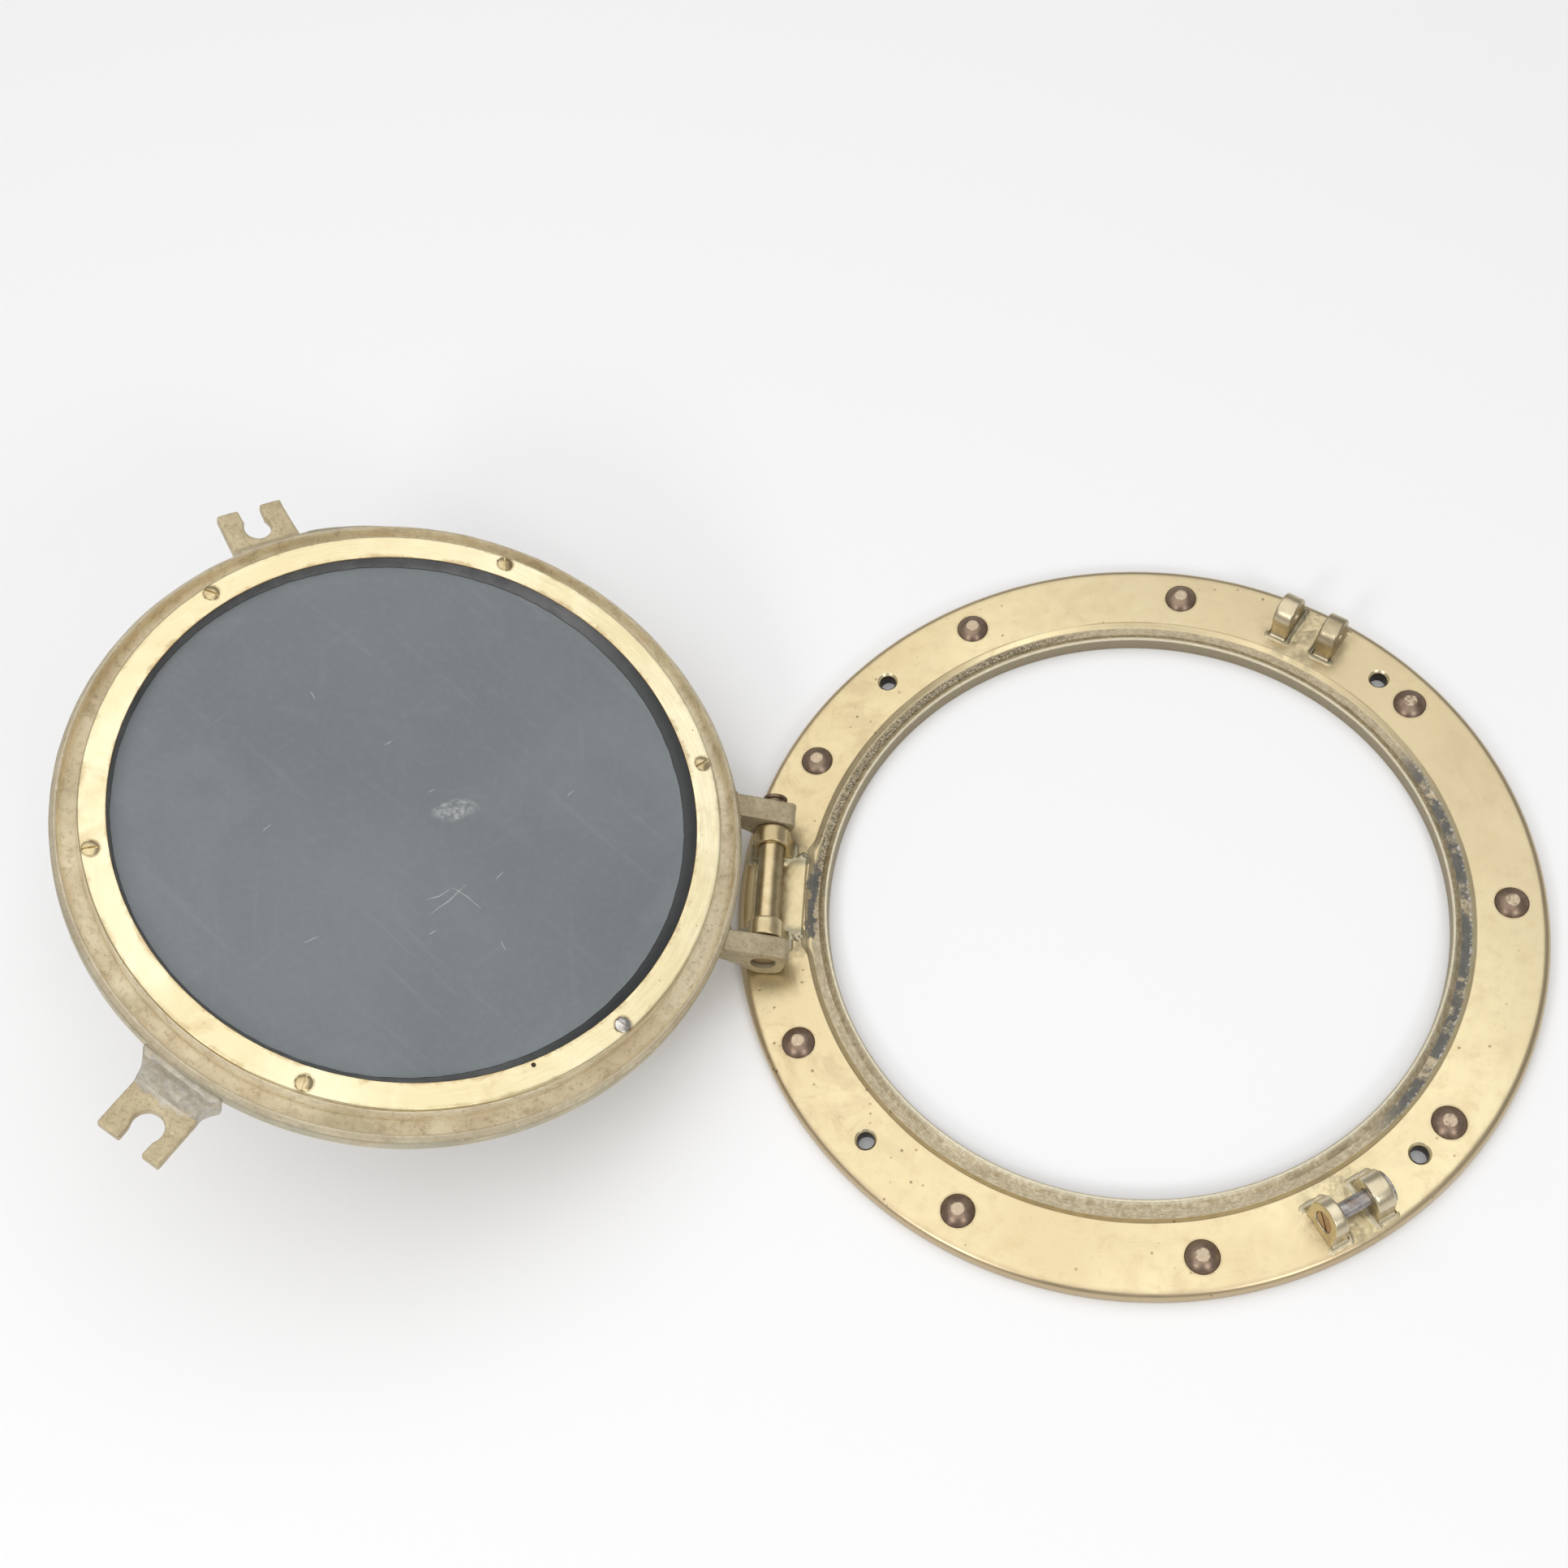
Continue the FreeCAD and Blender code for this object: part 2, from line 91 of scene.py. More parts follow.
# ------------------------------------------------------------------ node helpers
class Mat:
    def __init__(self, name):
        self.m = bpy.data.materials.new(name)
        self.m.use_nodes = True
        self.t = self.m.node_tree
        self.t.nodes.clear()
        self.out = self.t.nodes.new("ShaderNodeOutputMaterial")
        self.p = self.t.nodes.new("ShaderNodeBsdfPrincipled")
        self.t.links.new(self.p.outputs[0], self.out.inputs[0])
        tc = self.t.nodes.new("ShaderNodeTexCoord")
        self.co = tc.outputs["Object"]
        self._xyz = None

    def link(self, sock, inp):
        if isinstance(sock, (int, float)):
            inp.default_value = sock
        elif isinstance(sock, (tuple, list)):
            inp.default_value = (*sock, 1.0) if len(sock) == 3 and len(inp.default_value) == 4 else sock
        else:
            self.t.links.new(sock, inp)

    def math(self, op, a, b=0.0, c=0.0, clamp=False):
        n = self.t.nodes.new("ShaderNodeMath")
        n.operation = op
        n.use_clamp = clamp
        for i, v in enumerate((a, b, c)):
            self.link(v, n.inputs[i])
        return n.outputs[0]

    def vmath(self, op, a, b=(0, 0, 0), out=0):
        n = self.t.nodes.new("ShaderNodeVectorMath")
        n.operation = op
        self.link(a, n.inputs[0])
        self.link(b, n.inputs[1])
        return n.outputs[out]

    def xyz(self):
        if self._xyz is None:
            n = self.t.nodes.new("ShaderNodeSeparateXYZ")
            self.t.links.new(self.co, n.inputs[0])
            self._xyz = n.outputs
        return self._xyz

    def comb(self, x, y, z):
        n = self.t.nodes.new("ShaderNodeCombineXYZ")
        for i, v in enumerate((x, y, z)):
            self.link(v, n.inputs[i])
        return n.outputs[0]

    def noise(self, scale, detail=3.0, rough=0.55, vec=None, dist=0.0, color=False):
        n = self.t.nodes.new("ShaderNodeTexNoise")
        n.inputs["Scale"].default_value = scale
        n.inputs["Detail"].default_value = detail
        n.inputs["Roughness"].default_value = rough
        n.inputs["Distortion"].default_value = dist
        self.t.links.new(vec if vec is not None else self.co, n.inputs["Vector"])
        return n.outputs[1 if color else 0]

    def voronoi(self, scale, vec=None, feature="F1", rand=1.0, out="Distance"):
        n = self.t.nodes.new("ShaderNodeTexVoronoi")
        n.feature = feature
        n.inputs["Scale"].default_value = scale
        n.inputs["Randomness"].default_value = rand
        self.t.links.new(vec if vec is not None else self.co, n.inputs["Vector"])
        return n.outputs[out]

    def step(self, v, lo, hi, a=0.0, b=1.0):
        n = self.t.nodes.new("ShaderNodeMapRange")
        n.interpolation_type = "SMOOTHSTEP"
        self.link(v, n.inputs["Value"])
        n.inputs["From Min"].default_value = lo
        n.inputs["From Max"].default_value = hi
        n.inputs["To Min"].default_value = a
        n.inputs["To Max"].default_value = b
        return n.outputs[0]

    def lin(self, v, lo, hi, a=0.0, b=1.0):
        n = self.t.nodes.new("ShaderNodeMapRange")
        self.link(v, n.inputs["Value"])
        n.inputs["From Min"].default_value = lo
        n.inputs["From Max"].default_value = hi
        n.inputs["To Min"].default_value = a
        n.inputs["To Max"].default_value = b
        return n.outputs[0]

    def mix(self, fac, a, b, mode="MIX"):
        n = self.t.nodes.new("ShaderNodeMix")
        n.data_type = "RGBA"
        n.blend_type = mode
        n.clamp_factor = True
        self.link(fac, n.inputs[0])
        for v, inp in ((a, n.inputs[6]), (b, n.inputs[7])):
            if isinstance(v, (tuple, list)):
                inp.default_value = (*v[:3], 1.0)
            else:
                self.t.links.new(v, inp)
        return n.outputs[2]

    def band(self, v, lo, hi, soft):
        return self.math("MULTIPLY", self.step(v, lo - soft, lo + soft), self.step(v, hi - soft, hi + soft, 1.0, 0.0))

    def radius(self):
        x, y, _ = self.xyz()
        return self.math("SQRT", self.math("ADD", self.math("MULTIPLY", x, x), self.math("MULTIPLY", y, y)))

    def circ(self, k=6.0, s=1500.0):
        """Coordinates that run round the Z axis: fine across the radius, long round it."""
        x, y, z = self.xyz()
        r = self.radius()
        return self.comb(self.math("MULTIPLY", self.math("DIVIDE", x, r), k),
                         self.math("MULTIPLY", self.math("DIVIDE", y, r), k),
                         self.math("ADD", self.math("MULTIPLY", r, s), self.math("MULTIPLY", z, s)))

    def spot(self, x, y, r0, r1, z=None):
        """1 within r0 of a point (mm), 0 beyond r1."""
        v = self.co
        if z is None:
            xs, ys, _ = self.xyz()
            v = self.comb(xs, ys, 0.0)
            z = 0.0
        d = self.vmath("DISTANCE", v, (x * MM, y * MM, z * MM), out=1)
        return self.step(d, r0 * MM, r1 * MM, 1.0, 0.0)

    def bump(self, height, distance_mm, normal=None, strength=1.0):
        n = self.t.nodes.new("ShaderNodeBump")
        n.inputs["Distance"].default_value = distance_mm * MM
        n.inputs["Strength"].default_value = strength
        self.link(height, n.inputs["Height"])
        if normal is not None:
            self.t.links.new(normal, n.inputs["Normal"])
        return n.outputs[0]

    def set(self, **kw):
        for k, v in kw.items():
            self.link(v, self.p.inputs[k.replace("_", " ")])


def mx(m, *socks):
    s = socks[0]
    for o in socks[1:]:
        s = m.math("MAXIMUM", s, o)
    return s


# ------------------------------------------------------------------ materials
def satin_ring():
    """Flat ring: satin brass, faint round rubbing, blushes and specks; rough tarnished seat groove."""
    m = Mat("satin_brass_ring")
    r = m.radius()
    x, y, z = m.xyz()
    big = m.noise(9.0, 4.0, 0.6)
    mid = m.noise(38.0, 5.0, 0.62, dist=0.6)
    fine = m.noise(420.0, 3.0, 0.6)
    rub = m.noise(1.0, 3.0, 0.6, vec=m.circ(7.0, 1400.0))
    rub2 = m.noise(1.0, 2.0, 0.5, vec=m.circ(30.0, 4200.0))
    col = m.mix(m.step(big, 0.33, 0.68), (0.66, 0.54, 0.315), (0.79, 0.685, 0.42))
    col = m.mix(m.step(mid, 0.50, 0.72, 0.0, 0.5), col, (0.66, 0.50, 0.285))
    col = m.mix(m.step(m.noise(150.0, 5.0, 0.7), 0.50, 0.72, 0.0, 0.42), col, (0.56, 0.43, 0.24))
    # tarnish patches, heavier near the hinge, where they also serve as painted shade from the open window
    near_hinge = m.step(x, -0.09, -0.15)
    tan = m.math("MULTIPLY", m.math("ADD", m.math("MULTIPLY", near_hinge, 0.32), 0.20), m.step(m.noise(64.0, 6.0, 0.72, dist=0.8), 0.46, 0.66))
    col = m.mix(tan, col, (0.48, 0.37, 0.21))
    col = m.mix(m.step(m.noise(22.0, 6.0, 0.7, dist=1.2), 0.58, 0.80, 0.0, 0.5), col, (0.55, 0.41, 0.255))
    col = m.mix(m.lin(rub, 0.3, 0.7, 0.0, 0.18), col, (0.88, 0.79, 0.54))
    # tarnish along the outer rounding
    edge = m.step(m.math("ADD", r, m.lin(mid, 0, 1, -0.0015, 0.0015)), 0.1862, 0.1892)
    col = m.mix(m.math("MULTIPLY", edge, 0.72), col, (0.50, 0.385, 0.245))
    upl = m.math("MULTIPLY", m.step(x, -0.08, -0.15), m.step(y, -0.03, 0.03))
    col = m.mix(m.math("MULTIPLY", upl, 0.36), col, (0.50, 0.38, 0.20))
    # painted shade: duller and darker towards the far right, standing in for less light there
    far_right_shade = m.step(m.math("ADD", m.math("MULTIPLY", x, 0.75), m.math("MULTIPLY", y, 0.66)), 0.02, 0.16)
    col = m.mix(m.math("MULTIPLY", far_right_shade, 0.66), col, (0.52, 0.425, 0.265))
    # specks and pits on the flat
    sp = m.voronoi(150.0)
    specks = m.math("MULTIPLY", m.step(sp, 0.06, 0.15, 1.0, 0.0), m.step(m.math("ADD", m.noise(24.0, 2.0, 0.5), m.math("MULTIPLY", near_hinge, 0.10)), 0.50, 0.60))
    col = m.mix(m.math("MULTIPLY", specks, 0.75), col, (0.20, 0.13, 0.065))
    # smooth bevel with a painted brown shadow line along its upper edge
    line = m.math("MULTIPLY", m.band(r, 0.1571, 0.1577, 0.00018), m.step(m.noise(30.0, 3.0, 0.6), 0.30, 0.60, 0.25, 0.75))
    col = m.mix(line, col, (0.33, 0.24, 0.14))
    # groove: fine grain that runs round, tan; blackish towards the upper left
    seat = m.step(r, 0.1548, 0.1552, 1.0, 0.0)
    gr = m.noise(1.0, 5.0, 0.7, vec=m.circ(60.0, 1900.0))
    gcol = m.mix(m.step(gr, 0.36, 0.66), (0.44, 0.365, 0.235), (0.66, 0.58, 0.42))
    gcol = m.mix(m.step(m.noise(210.0, 4.0, 0.7), 0.46, 0.68, 0.0, 0.55), gcol, (0.36, 0.29, 0.18))
    black = m.math("MULTIPLY", m.band(r, 0.1502, 0.1545, 0.0007), m.step(m.noise(1.0, 6.0, 0.8, vec=m.circ(150.0, 900.0)), 0.38, 0.58))
    left = m.math("MULTIPLY", m.step(x, -0.01, -0.05), m.step(y, -0.03, 0.03))
    black = m.math("MULTIPLY", black, m.math("ADD", m.math("MULTIPLY", left, 0.78), 0.20))
    gcol = m.mix(black, gcol, (0.13, 0.11, 0.075))
    # lip: smoother and paler, thin dark line at the edge of the bore painted as shade where the ring drops to the floor
    lipm = m.step(r, 0.1490, 0.1484)
    gcol = m.mix(m.math("MULTIPLY", lipm, 0.8), gcol, m.mix(m.step(gr, 0.3, 0.7), (0.66, 0.59, 0.43), (0.80, 0.75, 0.60)))
    bore_edge_shade = m.step(r, 0.14675, 0.14645)
    gcol = m.mix(m.math("MULTIPLY", bore_edge_shade, 0.7), gcol, (0.22, 0.17, 0.10))
    col = m.mix(seat, col, gcol)
    # dark grey gasket residue: right-hand side of the groove, and behind the bracket
    ang = m.math("ARCTAN2", y, x)
    right = m.math("MULTIPLY", m.band(ang, -0.78, 0.52, 0.10), m.band(r, 0.1508, 0.1556, 0.0005))
    wx = m.lin(m.noise(95.0, 5.0, 0.72), 0.3, 0.7, -0.0026, 0.0026)
    wy = m.lin(m.noise(60.0, 5.0, 0.72), 0.3, 0.7, -0.0065, 0.0065)
    back = m.math("MULTIPLY", m.band(m.math("ADD", y, wy), -0.0185, 0.0155, 0.0022), m.band(m.math("ADD", r, wx), 0.1527, 0.1566, 0.0007))
    back = m.math("MULTIPLY", back, m.step(x, -0.10, -0.09, 1.0, 0.0))
    res_n = m.step(m.noise(70.0, 6.0, 0.72, dist=0.5), 0.40, 0.52)
    resid = mx(m, m.math("MULTIPLY", right, res_n), m.math("MULTIPLY", back, m.step(m.noise(120.0, 4.0, 0.7), 0.30, 0.42)))
    col = m.mix(m.math("MULTIPLY", resid, 0.9), col, m.mix(m.noise(300.0, 3.0), (0.045, 0.048, 0.05), (0.135, 0.138, 0.136)))
    # pale speckles left on the outer side of the residue
    pale = m.math("MULTIPLY", m.math("MULTIPLY", m.band(ang, -0.85, 0.55, 0.10), m.band(r, 0.1546, 0.1562, 0.0003)),
                  m.step(m.noise(500.0, 4.0, 0.7), 0.50, 0.60))
    col = m.mix(m.math("MULTIPLY", pale, 0.8), col, (0.62, 0.60, 0.54))
    # flux stains round the brazed lugs and the bracket
    st = []
    for deg in (LUG_FAR, LUG_NEAR):
        cx, cy = polar(deg, 172.5)
        st.append(m.spot(cx, cy, 12.0, 27.0))
    for cy in (24.0, -24.0):
        st.append(m.spot(-168.0, cy, 8.0, 20.0))
    stain = m.math("MULTIPLY", mx(m, *st), m.step(m.noise(130.0, 5.0, 0.7), 0.38, 0.66))
    col = m.mix(m.math("MULTIPLY", stain, 0.68), col, (0.37, 0.315, 0.205))
    # darker ring round the foot of each rivet
    rivet_foot_rings = []
    for d in (25.9, 62.7, 98.9, 141.6, 180.0, -141.6, -98.9, -62.7, -25.9):
        cx, cy = polar(d, 173.6)
        rivet_foot_rings.append(m.spot(cx, cy, 7.7, 9.3))
    ring = m.math("MULTIPLY", mx(m, *rivet_foot_rings), m.step(m.noise(200.0, 3.0, 0.6), 0.35, 0.65, 0.25, 0.85))
    col = m.mix(m.math("MULTIPLY", ring, 0.65), col, (0.33, 0.24, 0.14))
    # mounting holes: walls painted dark brown-black as the shade inside the holes, bright cut countersinks
    hole, csk = [], []
    for d in (45, 135, -45, -135):
        cx, cy = polar(d, 173.05)
        hole.append(m.spot(cx, cy, 4.02, 4.14))
        csk.append(m.spot(cx, cy, 5.15, 5.45))
    hole_wall_shade = mx(m, *hole)
    col = m.mix(m.math("MULTIPLY", mx(m, *csk), 0.7), col, (0.84, 0.74, 0.50))
    col = m.mix(hole_wall_shade, col, (0.035, 0.025, 0.015))
    rough = m.math("ADD", m.lin(rub, 0.25, 0.75, 0.27, 0.37), m.lin(mid, 0.3, 0.7, -0.03, 0.05))
    rough = m.math("ADD", rough, m.math("MULTIPLY", mx(m, seat, stain), 0.20))
    rough = m.math("ADD", rough, m.math("MULTIPLY", resid, 0.30), clamp=True)
    metal = m.math("SUBTRACT", 1.0, m.math("MULTIPLY", mx(m, resid, hole_wall_shade), 0.9))
    n1 = m.bump(m.noise(1.0, 3.0, 0.6, vec=m.circ(12.0, 2600.0)), 0.012)
    n2 = m.bump(rub2, 0.006, n1)
    n3 = m.bump(fine, 0.010, n2)
    gb = m.math("MULTIPLY", seat, m.noise(620.0, 5.0, 0.7))
    n4 = m.bump(gb, 0.16, n3)
    n5 = m.bump(m.math("MULTIPLY", specks, -1.0), 0.06, n4)
    n6 = m.bump(m.math("MULTIPLY", stain, m.noise(700.0, 3.0, 0.6)), 0.10, n5)
    m.set(Base_Color=col, Metallic=metal, Roughness=rough, Normal=n6)
    return m.m


def polished(name, lo, hi, tarnish, amount, rough0, rough1, bump=0.01, scale=1.0, streak=None, grime=None):
    """Worked brass: two tones, tarnish patches, hairline scratches."""
    m = Mat(name)
    big = m.noise(30.0 * scale, 4.0, 0.6)
    mid = m.noise(120.0 * scale, 5.0, 0.65, dist=0.5)
    fine = m.noise(900.0 * scale, 3.0, 0.6)
    col = m.mix(m.step(big, 0.34, 0.66), lo, hi)
    pat = m.step(m.noise(55.0 * scale, 6.0, 0.68, dist=0.8), 0.50, 0.74)
    col = m.mix(m.math("MULTIPLY", pat, amount), col, tarnish)
    x, y, z = m.xyz()
    if streak == "y":
        sv = m.comb(m.math("MULTIPLY", x, 3200.0), m.math("MULTIPLY", y, 60.0), m.math("MULTIPLY", z, 3200.0))
    elif streak == "circ":
        sv = m.circ(9.0, 2600.0)
    else:
        sv = m.comb(m.math("MULTIPLY", x, 2200.0), m.math("MULTIPLY", y, 700.0), m.math("MULTIPLY", z, 500.0))
    sn = m.noise(1.0, 3.0, 0.6, vec=sv)
    rough = m.math("ADD", m.lin(sn, 0.3, 0.7, rough0, rough1), m.math("MULTIPLY", pat, 0.14))
    if grime is not None:
        g = m.step(mid, 0.50, 0.72)
        col = m.mix(m.math("MULTIPLY", g, 0.7), col, grime)
        rough = m.math("ADD", rough, m.math("MULTIPLY", g, 0.2))
    n1 = m.bump(sn, bump)
    n2 = m.bump(fine, bump * 0.8, n1)
    m.set(Base_Color=col, Metallic=1.0, Roughness=rough, Normal=n2)
    return m.m


def cast_brass(name, tone=1.0, front_z=None, dark=0.55, rim=False, grain=0.10, braze=None, gold=False):
    """Sand-cast brass, dull: grey tan with brown and greenish patches, specks, open grain."""
    m = Mat(name)
    x, y, z = m.xyz()
    c = lambda a: tuple(v * tone for v in a)
    big = m.noise(26.0, 5.0, 0.65, dist=0.5)
    mid = m.noise(95.0, 6.0, 0.70)
    fine = m.noise(700.0, 5.0, 0.72)
    col = m.mix(m.step(big, 0.34, 0.66), c((0.44, 0.365, 0.235)), c((0.61, 0.53, 0.37)))
    col = m.mix(m.step(mid, 0.46, 0.72, 0.0, dark), col, c((0.35, 0.28, 0.175)))
    col = m.mix(m.step(m.noise(17.0, 4.0, 0.6), 0.55, 0.75, 0.0, 0.5), col, c((0.45, 0.42, 0.29)))
    col = m.mix(m.step(m.noise(48.0, 5.0, 0.7, dist=1.0), 0.60, 0.76, 0.0, 0.65), col, c((0.66, 0.60, 0.48)))
    sp = m.voronoi(420.0)
    specks = m.math("MULTIPLY", m.step(sp, 0.08, 0.20, 1.0, 0.0), m.step(m.noise(60.0, 2.0), 0.50, 0.62))
    col = m.mix(m.math("MULTIPLY", specks, 0.6), col, c((0.20, 0.15, 0.09)))
    if gold:
        # sandy golden tan with dark pits
        g = m.mix(m.step(m.noise(60.0, 5.0, 0.66), 0.36, 0.64), c((0.52, 0.42, 0.25)), c((0.68, 0.57, 0.36)))
        col = m.mix(0.6, col, g)
        col = m.mix(m.step(m.noise(430.0, 4.0, 0.75), 0.49, 0.64, 0.0, 0.50), col, c((0.31, 0.24, 0.13)))
        col = m.mix(m.step(m.noise(260.0, 3.0, 0.7), 0.60, 0.70, 0.0, 0.5), col, c((0.80, 0.70, 0.47)))
    rough = m.math("ADD", m.lin(mid, 0.3, 0.7, 0.42, 0.58), m.lin(fine, 0.3, 0.7, -0.05, 0.07))
    gb = 1.0
    if rim:
        r = m.radius()
        # paler rubbed seat ridge, pinkish grey spigot wall, browner channel
        ridge = m.math("MULTIPLY", m.band(r, 0.1544, 0.1568, 0.0005), m.step(z, T * MM + 0.0022, T * MM + 0.0010))
        ridge = m.math("MULTIPLY", ridge, m.step(m.noise(40.0, 4.0, 0.6), 0.25, 0.50, 0.3, 1.0))
        col = m.mix(m.math("MULTIPLY", ridge, 0.5), col, (0.56, 0.49, 0.36))
        # painted shade: thin dark lines along both edges of the seat ridge, for the crevices beside it
        for rl in (0.15445, 0.15715):
            ridge_edge_shade = m.math("MULTIPLY", m.band(r, rl - 0.00016, rl + 0.00016, 0.00012), m.step(z, T * MM + 0.0055, T * MM + 0.0045))
            col = m.mix(m.math("MULTIPLY", ridge_edge_shade, 0.6), col, (0.26, 0.21, 0.13))
        outw = m.math("MULTIPLY", m.step(r, 0.1566, 0.1571), m.step(m.noise(36.0, 5.0, 0.65), 0.34, 0.62, 0.15, 0.75))
        col = m.mix(outw, col, (0.43, 0.41, 0.31))
        # spigot wall: pinkish grey, painted pale as well to stand in for the light that falls on it
        wall = m.math("MULTIPLY", m.step(r, 0.14720, 0.14640), m.step(z, (T + 8.0) * MM, (T + 6.5) * MM))
        wall = m.math("MULTIPLY", wall, m.step(r, 0.1385, 0.1395))
        wall_col_painted_light = m.mix(m.step(m.noise(1.0, 4.0, 0.65, vec=m.circ(9.0, 260.0)), 0.36, 0.64), (0.56, 0.48, 0.38), (0.80, 0.74, 0.62))
        col = m.mix(m.math("MULTIPLY", wall, 0.8), col, wall_col_painted_light)
        # the channel behind the seat ridge: pale scale with olive and brown patches; the pale base is partly painted
        # light for the light that fills the channel
        chan = m.math("MULTIPLY", m.step(r, 0.1544, 0.1539), m.step(r, 0.1448, 0.1453))
        chan = m.math("MULTIPLY", chan, m.step(z, (T + 10.0) * MM, (T + 9.0) * MM))
        channel_col_painted_light = m.mix(m.step(m.noise(34.0, 5.0, 0.66, dist=0.6), 0.34, 0.66), (0.76, 0.655, 0.46), (0.92, 0.85, 0.66))
        channel_col_painted_light = m.mix(m.step(m.noise(110.0, 5.0, 0.7), 0.50, 0.72, 0.0, 0.65), channel_col_painted_light, (0.48, 0.39, 0.24))
        channel_col_painted_light = m.mix(m.step(m.noise(22.0, 4.0, 0.6), 0.55, 0.75, 0.0, 0.5), channel_col_painted_light, (0.56, 0.52, 0.36))
        channel_col_painted_light = m.mix(m.math("MULTIPLY", specks, 0.6), channel_col_painted_light, (0.24, 0.18, 0.10))
        col = m.mix(chan, col, channel_col_painted_light)
        col = m.mix(m.step(m.noise(300.0, 5.0, 0.75), 0.50, 0.68, 0.0, 0.50), col, (0.36, 0.275, 0.16))
        col = m.mix(m.step(m.noise(190.0, 4.0, 0.7, dist=0.5), 0.58, 0.72, 0.0, 0.45), col, (0.80, 0.72, 0.58))
    if front_z is not None:
        # the show side is worked smooth and bright
        f = m.step(z, front_z[0], front_z[1])
        f = m.math("MULTIPLY", f, m.step(m.radius(), 0.1580, 0.1572))
        fc = m.mix(m.step(m.noise(12.0, 4.0, 0.6), 0.35, 0.68), (0.63, 0.485, 0.24), (0.76, 0.62, 0.34))
        fc = m.mix(m.step(m.noise(60.0, 6.0, 0.7, dist=0.9), 0.55, 0.78, 0.0, 0.5), fc, (0.40, 0.27, 0.13))
        col = m.mix(f, col, fc)
        rub = m.noise(1.0, 3.0, 0.6, vec=m.circ(8.0, 1800.0))
        rough = m.math("ADD", m.math("MULTIPLY", rough, m.math("SUBTRACT", 1.0, f)),
                       m.math("MULTIPLY", f, m.lin(rub, 0.3, 0.7, 0.24, 0.36)))
        gb = m.math("SUBTRACT", 1.0, m.math("MULTIPLY", f, 0.9))
    if braze is not None:
        # grey silver braze over the root, tan and dark flux in its hollows
        bn = m.noise(150.0, 6.0, 0.70, dist=0.6)
        edge = m.math("ADD", m.radius(), m.lin(m.noise(130.0, 5.0, 0.7), 0.3, 0.7, -0.0022, 0.0022))
        bm_ = m.math("MULTIPLY", m.step(edge, (braze[0] + 0.6) * MM, (braze[0] - 0.6) * MM), braze[1])
        bc = m.mix(m.step(bn, 0.34, 0.66), (0.37, 0.335, 0.275), (0.56, 0.52, 0.45))
        bc = m.mix(m.step(m.noise(330.0, 4.0, 0.7), 0.52, 0.72, 0.0, 0.6), bc, (0.30, 0.285, 0.25))
        bc = m.mix(m.step(m.noise(110.0, 4.0, 0.7), 0.48, 0.68, 0.0, 0.7), bc, (0.52, 0.43, 0.27))
        col = m.mix(bm_, col, bc)
        rough = m.math("SUBTRACT", rough, m.math("MULTIPLY", bm_, 0.07))
    h = m.math("MULTIPLY", m.noise(520.0, 6.0, 0.75), gb)
    n1 = m.bump(h, grain)
    h2 = m.math("MULTIPLY", m.noise(1700.0, 3.0, 0.6), gb)
    n2 = m.bump(h2, grain * 0.35, n1)
    n3 = m.bump(m.math("MULTIPLY", specks, -1.0), 0.08, n2)
    metal = m.math("SUBTRACT", 0.5, m.math("MULTIPLY", chan, 0.45)) if rim else 0.5
    m.set(Base_Color=col, Metallic=metal, Roughness=rough, Normal=n3)
    return m.m


def bright_ring():
    """Retaining ring: bright pale brass with brown edge stains and soft rubbing."""
    m = Mat("bright_brass_ring")
    r = m.radius()
    big = m.noise(14.0, 5.0, 0.62, dist=0.6)
    mid = m.noise(42.0, 3.0, 0.55, dist=0.6)
    rub = m.noise(1.0, 3.0, 0.6, vec=m.circ(10.0, 900.0))
    col = m.mix(m.step(big, 0.36, 0.66), (0.76, 0.655, 0.40), (0.88, 0.80, 0.55))
    col = m.mix(m.step(mid, 0.56, 0.80, 0.0, 0.35), col, (0.70, 0.56, 0.33))
    patch = m.step(m.noise(20.0, 5.0, 0.66, dist=0.8), 0.56, 0.76)
    col = m.mix(m.math("MULTIPLY", patch, 0.62), col, (0.56, 0.42, 0.215))
    # stains creep in from both edges
    wob = m.lin(m.noise(45.0, 6.0, 0.72, dist=0.8), 0.25, 0.75, -0.0034, 0.0034)
    rr = m.math("ADD", r, wob)
    outer = m.step(rr, 0.1436, 0.1468)
    inner = m.step(rr, 0.1350, 0.1322)
    col = m.mix(m.math("MULTIPLY", outer, 0.6), col, (0.46, 0.34, 0.17))
    col = m.mix(m.math("MULTIPLY", inner, 0.55), col, (0.50, 0.34, 0.16))
    lipd = m.step(r, 0.1335, 0.1331)
    col = m.mix(m.math("MULTIPLY", lipd, 0.8), col, (0.22, 0.12, 0.06))
    halo = []
    for i in range(6):
        a = math.radians(40 + 60 * i)
        halo.append(m.spot(140.8 * math.cos(a), 140.8 * math.sin(a), 3.7, 5.1))
    hal = m.math("MULTIPLY", mx(m, *halo), m.step(m.noise(260.0, 3.0), 0.35, 0.6, 0.35, 1.0))
    col = m.mix(m.math("MULTIPLY", hal, 0.75), col, (0.28, 0.19, 0.09))
    sp = m.voronoi(260.0)
    specks = m.math("MULTIPLY", m.step(sp, 0.05, 0.14, 1.0, 0.0), m.step(m.noise(34.0, 2.0), 0.54, 0.64))
    col = m.mix(m.math("MULTIPLY", specks, 0.7), col, (0.25, 0.17, 0.08))
    rough = m.math("ADD", m.lin(rub, 0.3, 0.7, 0.22, 0.33), m.math("MULTIPLY", m.math("ADD", outer, inner), 0.12))
    n1 = m.bump(m.noise(1.0, 3.0, 0.6, vec=m.circ(14.0, 2000.0)), 0.004)
    n2 = m.bump(m.noise(500.0, 3.0, 0.6), 0.004, n1)
    n3 = m.bump(m.math("MULTIPLY", specks, -1.0), 0.04, n2)
    m.set(Base_Color=col, Metallic=1.0, Roughness=rough, Normal=n3)
    return m.m


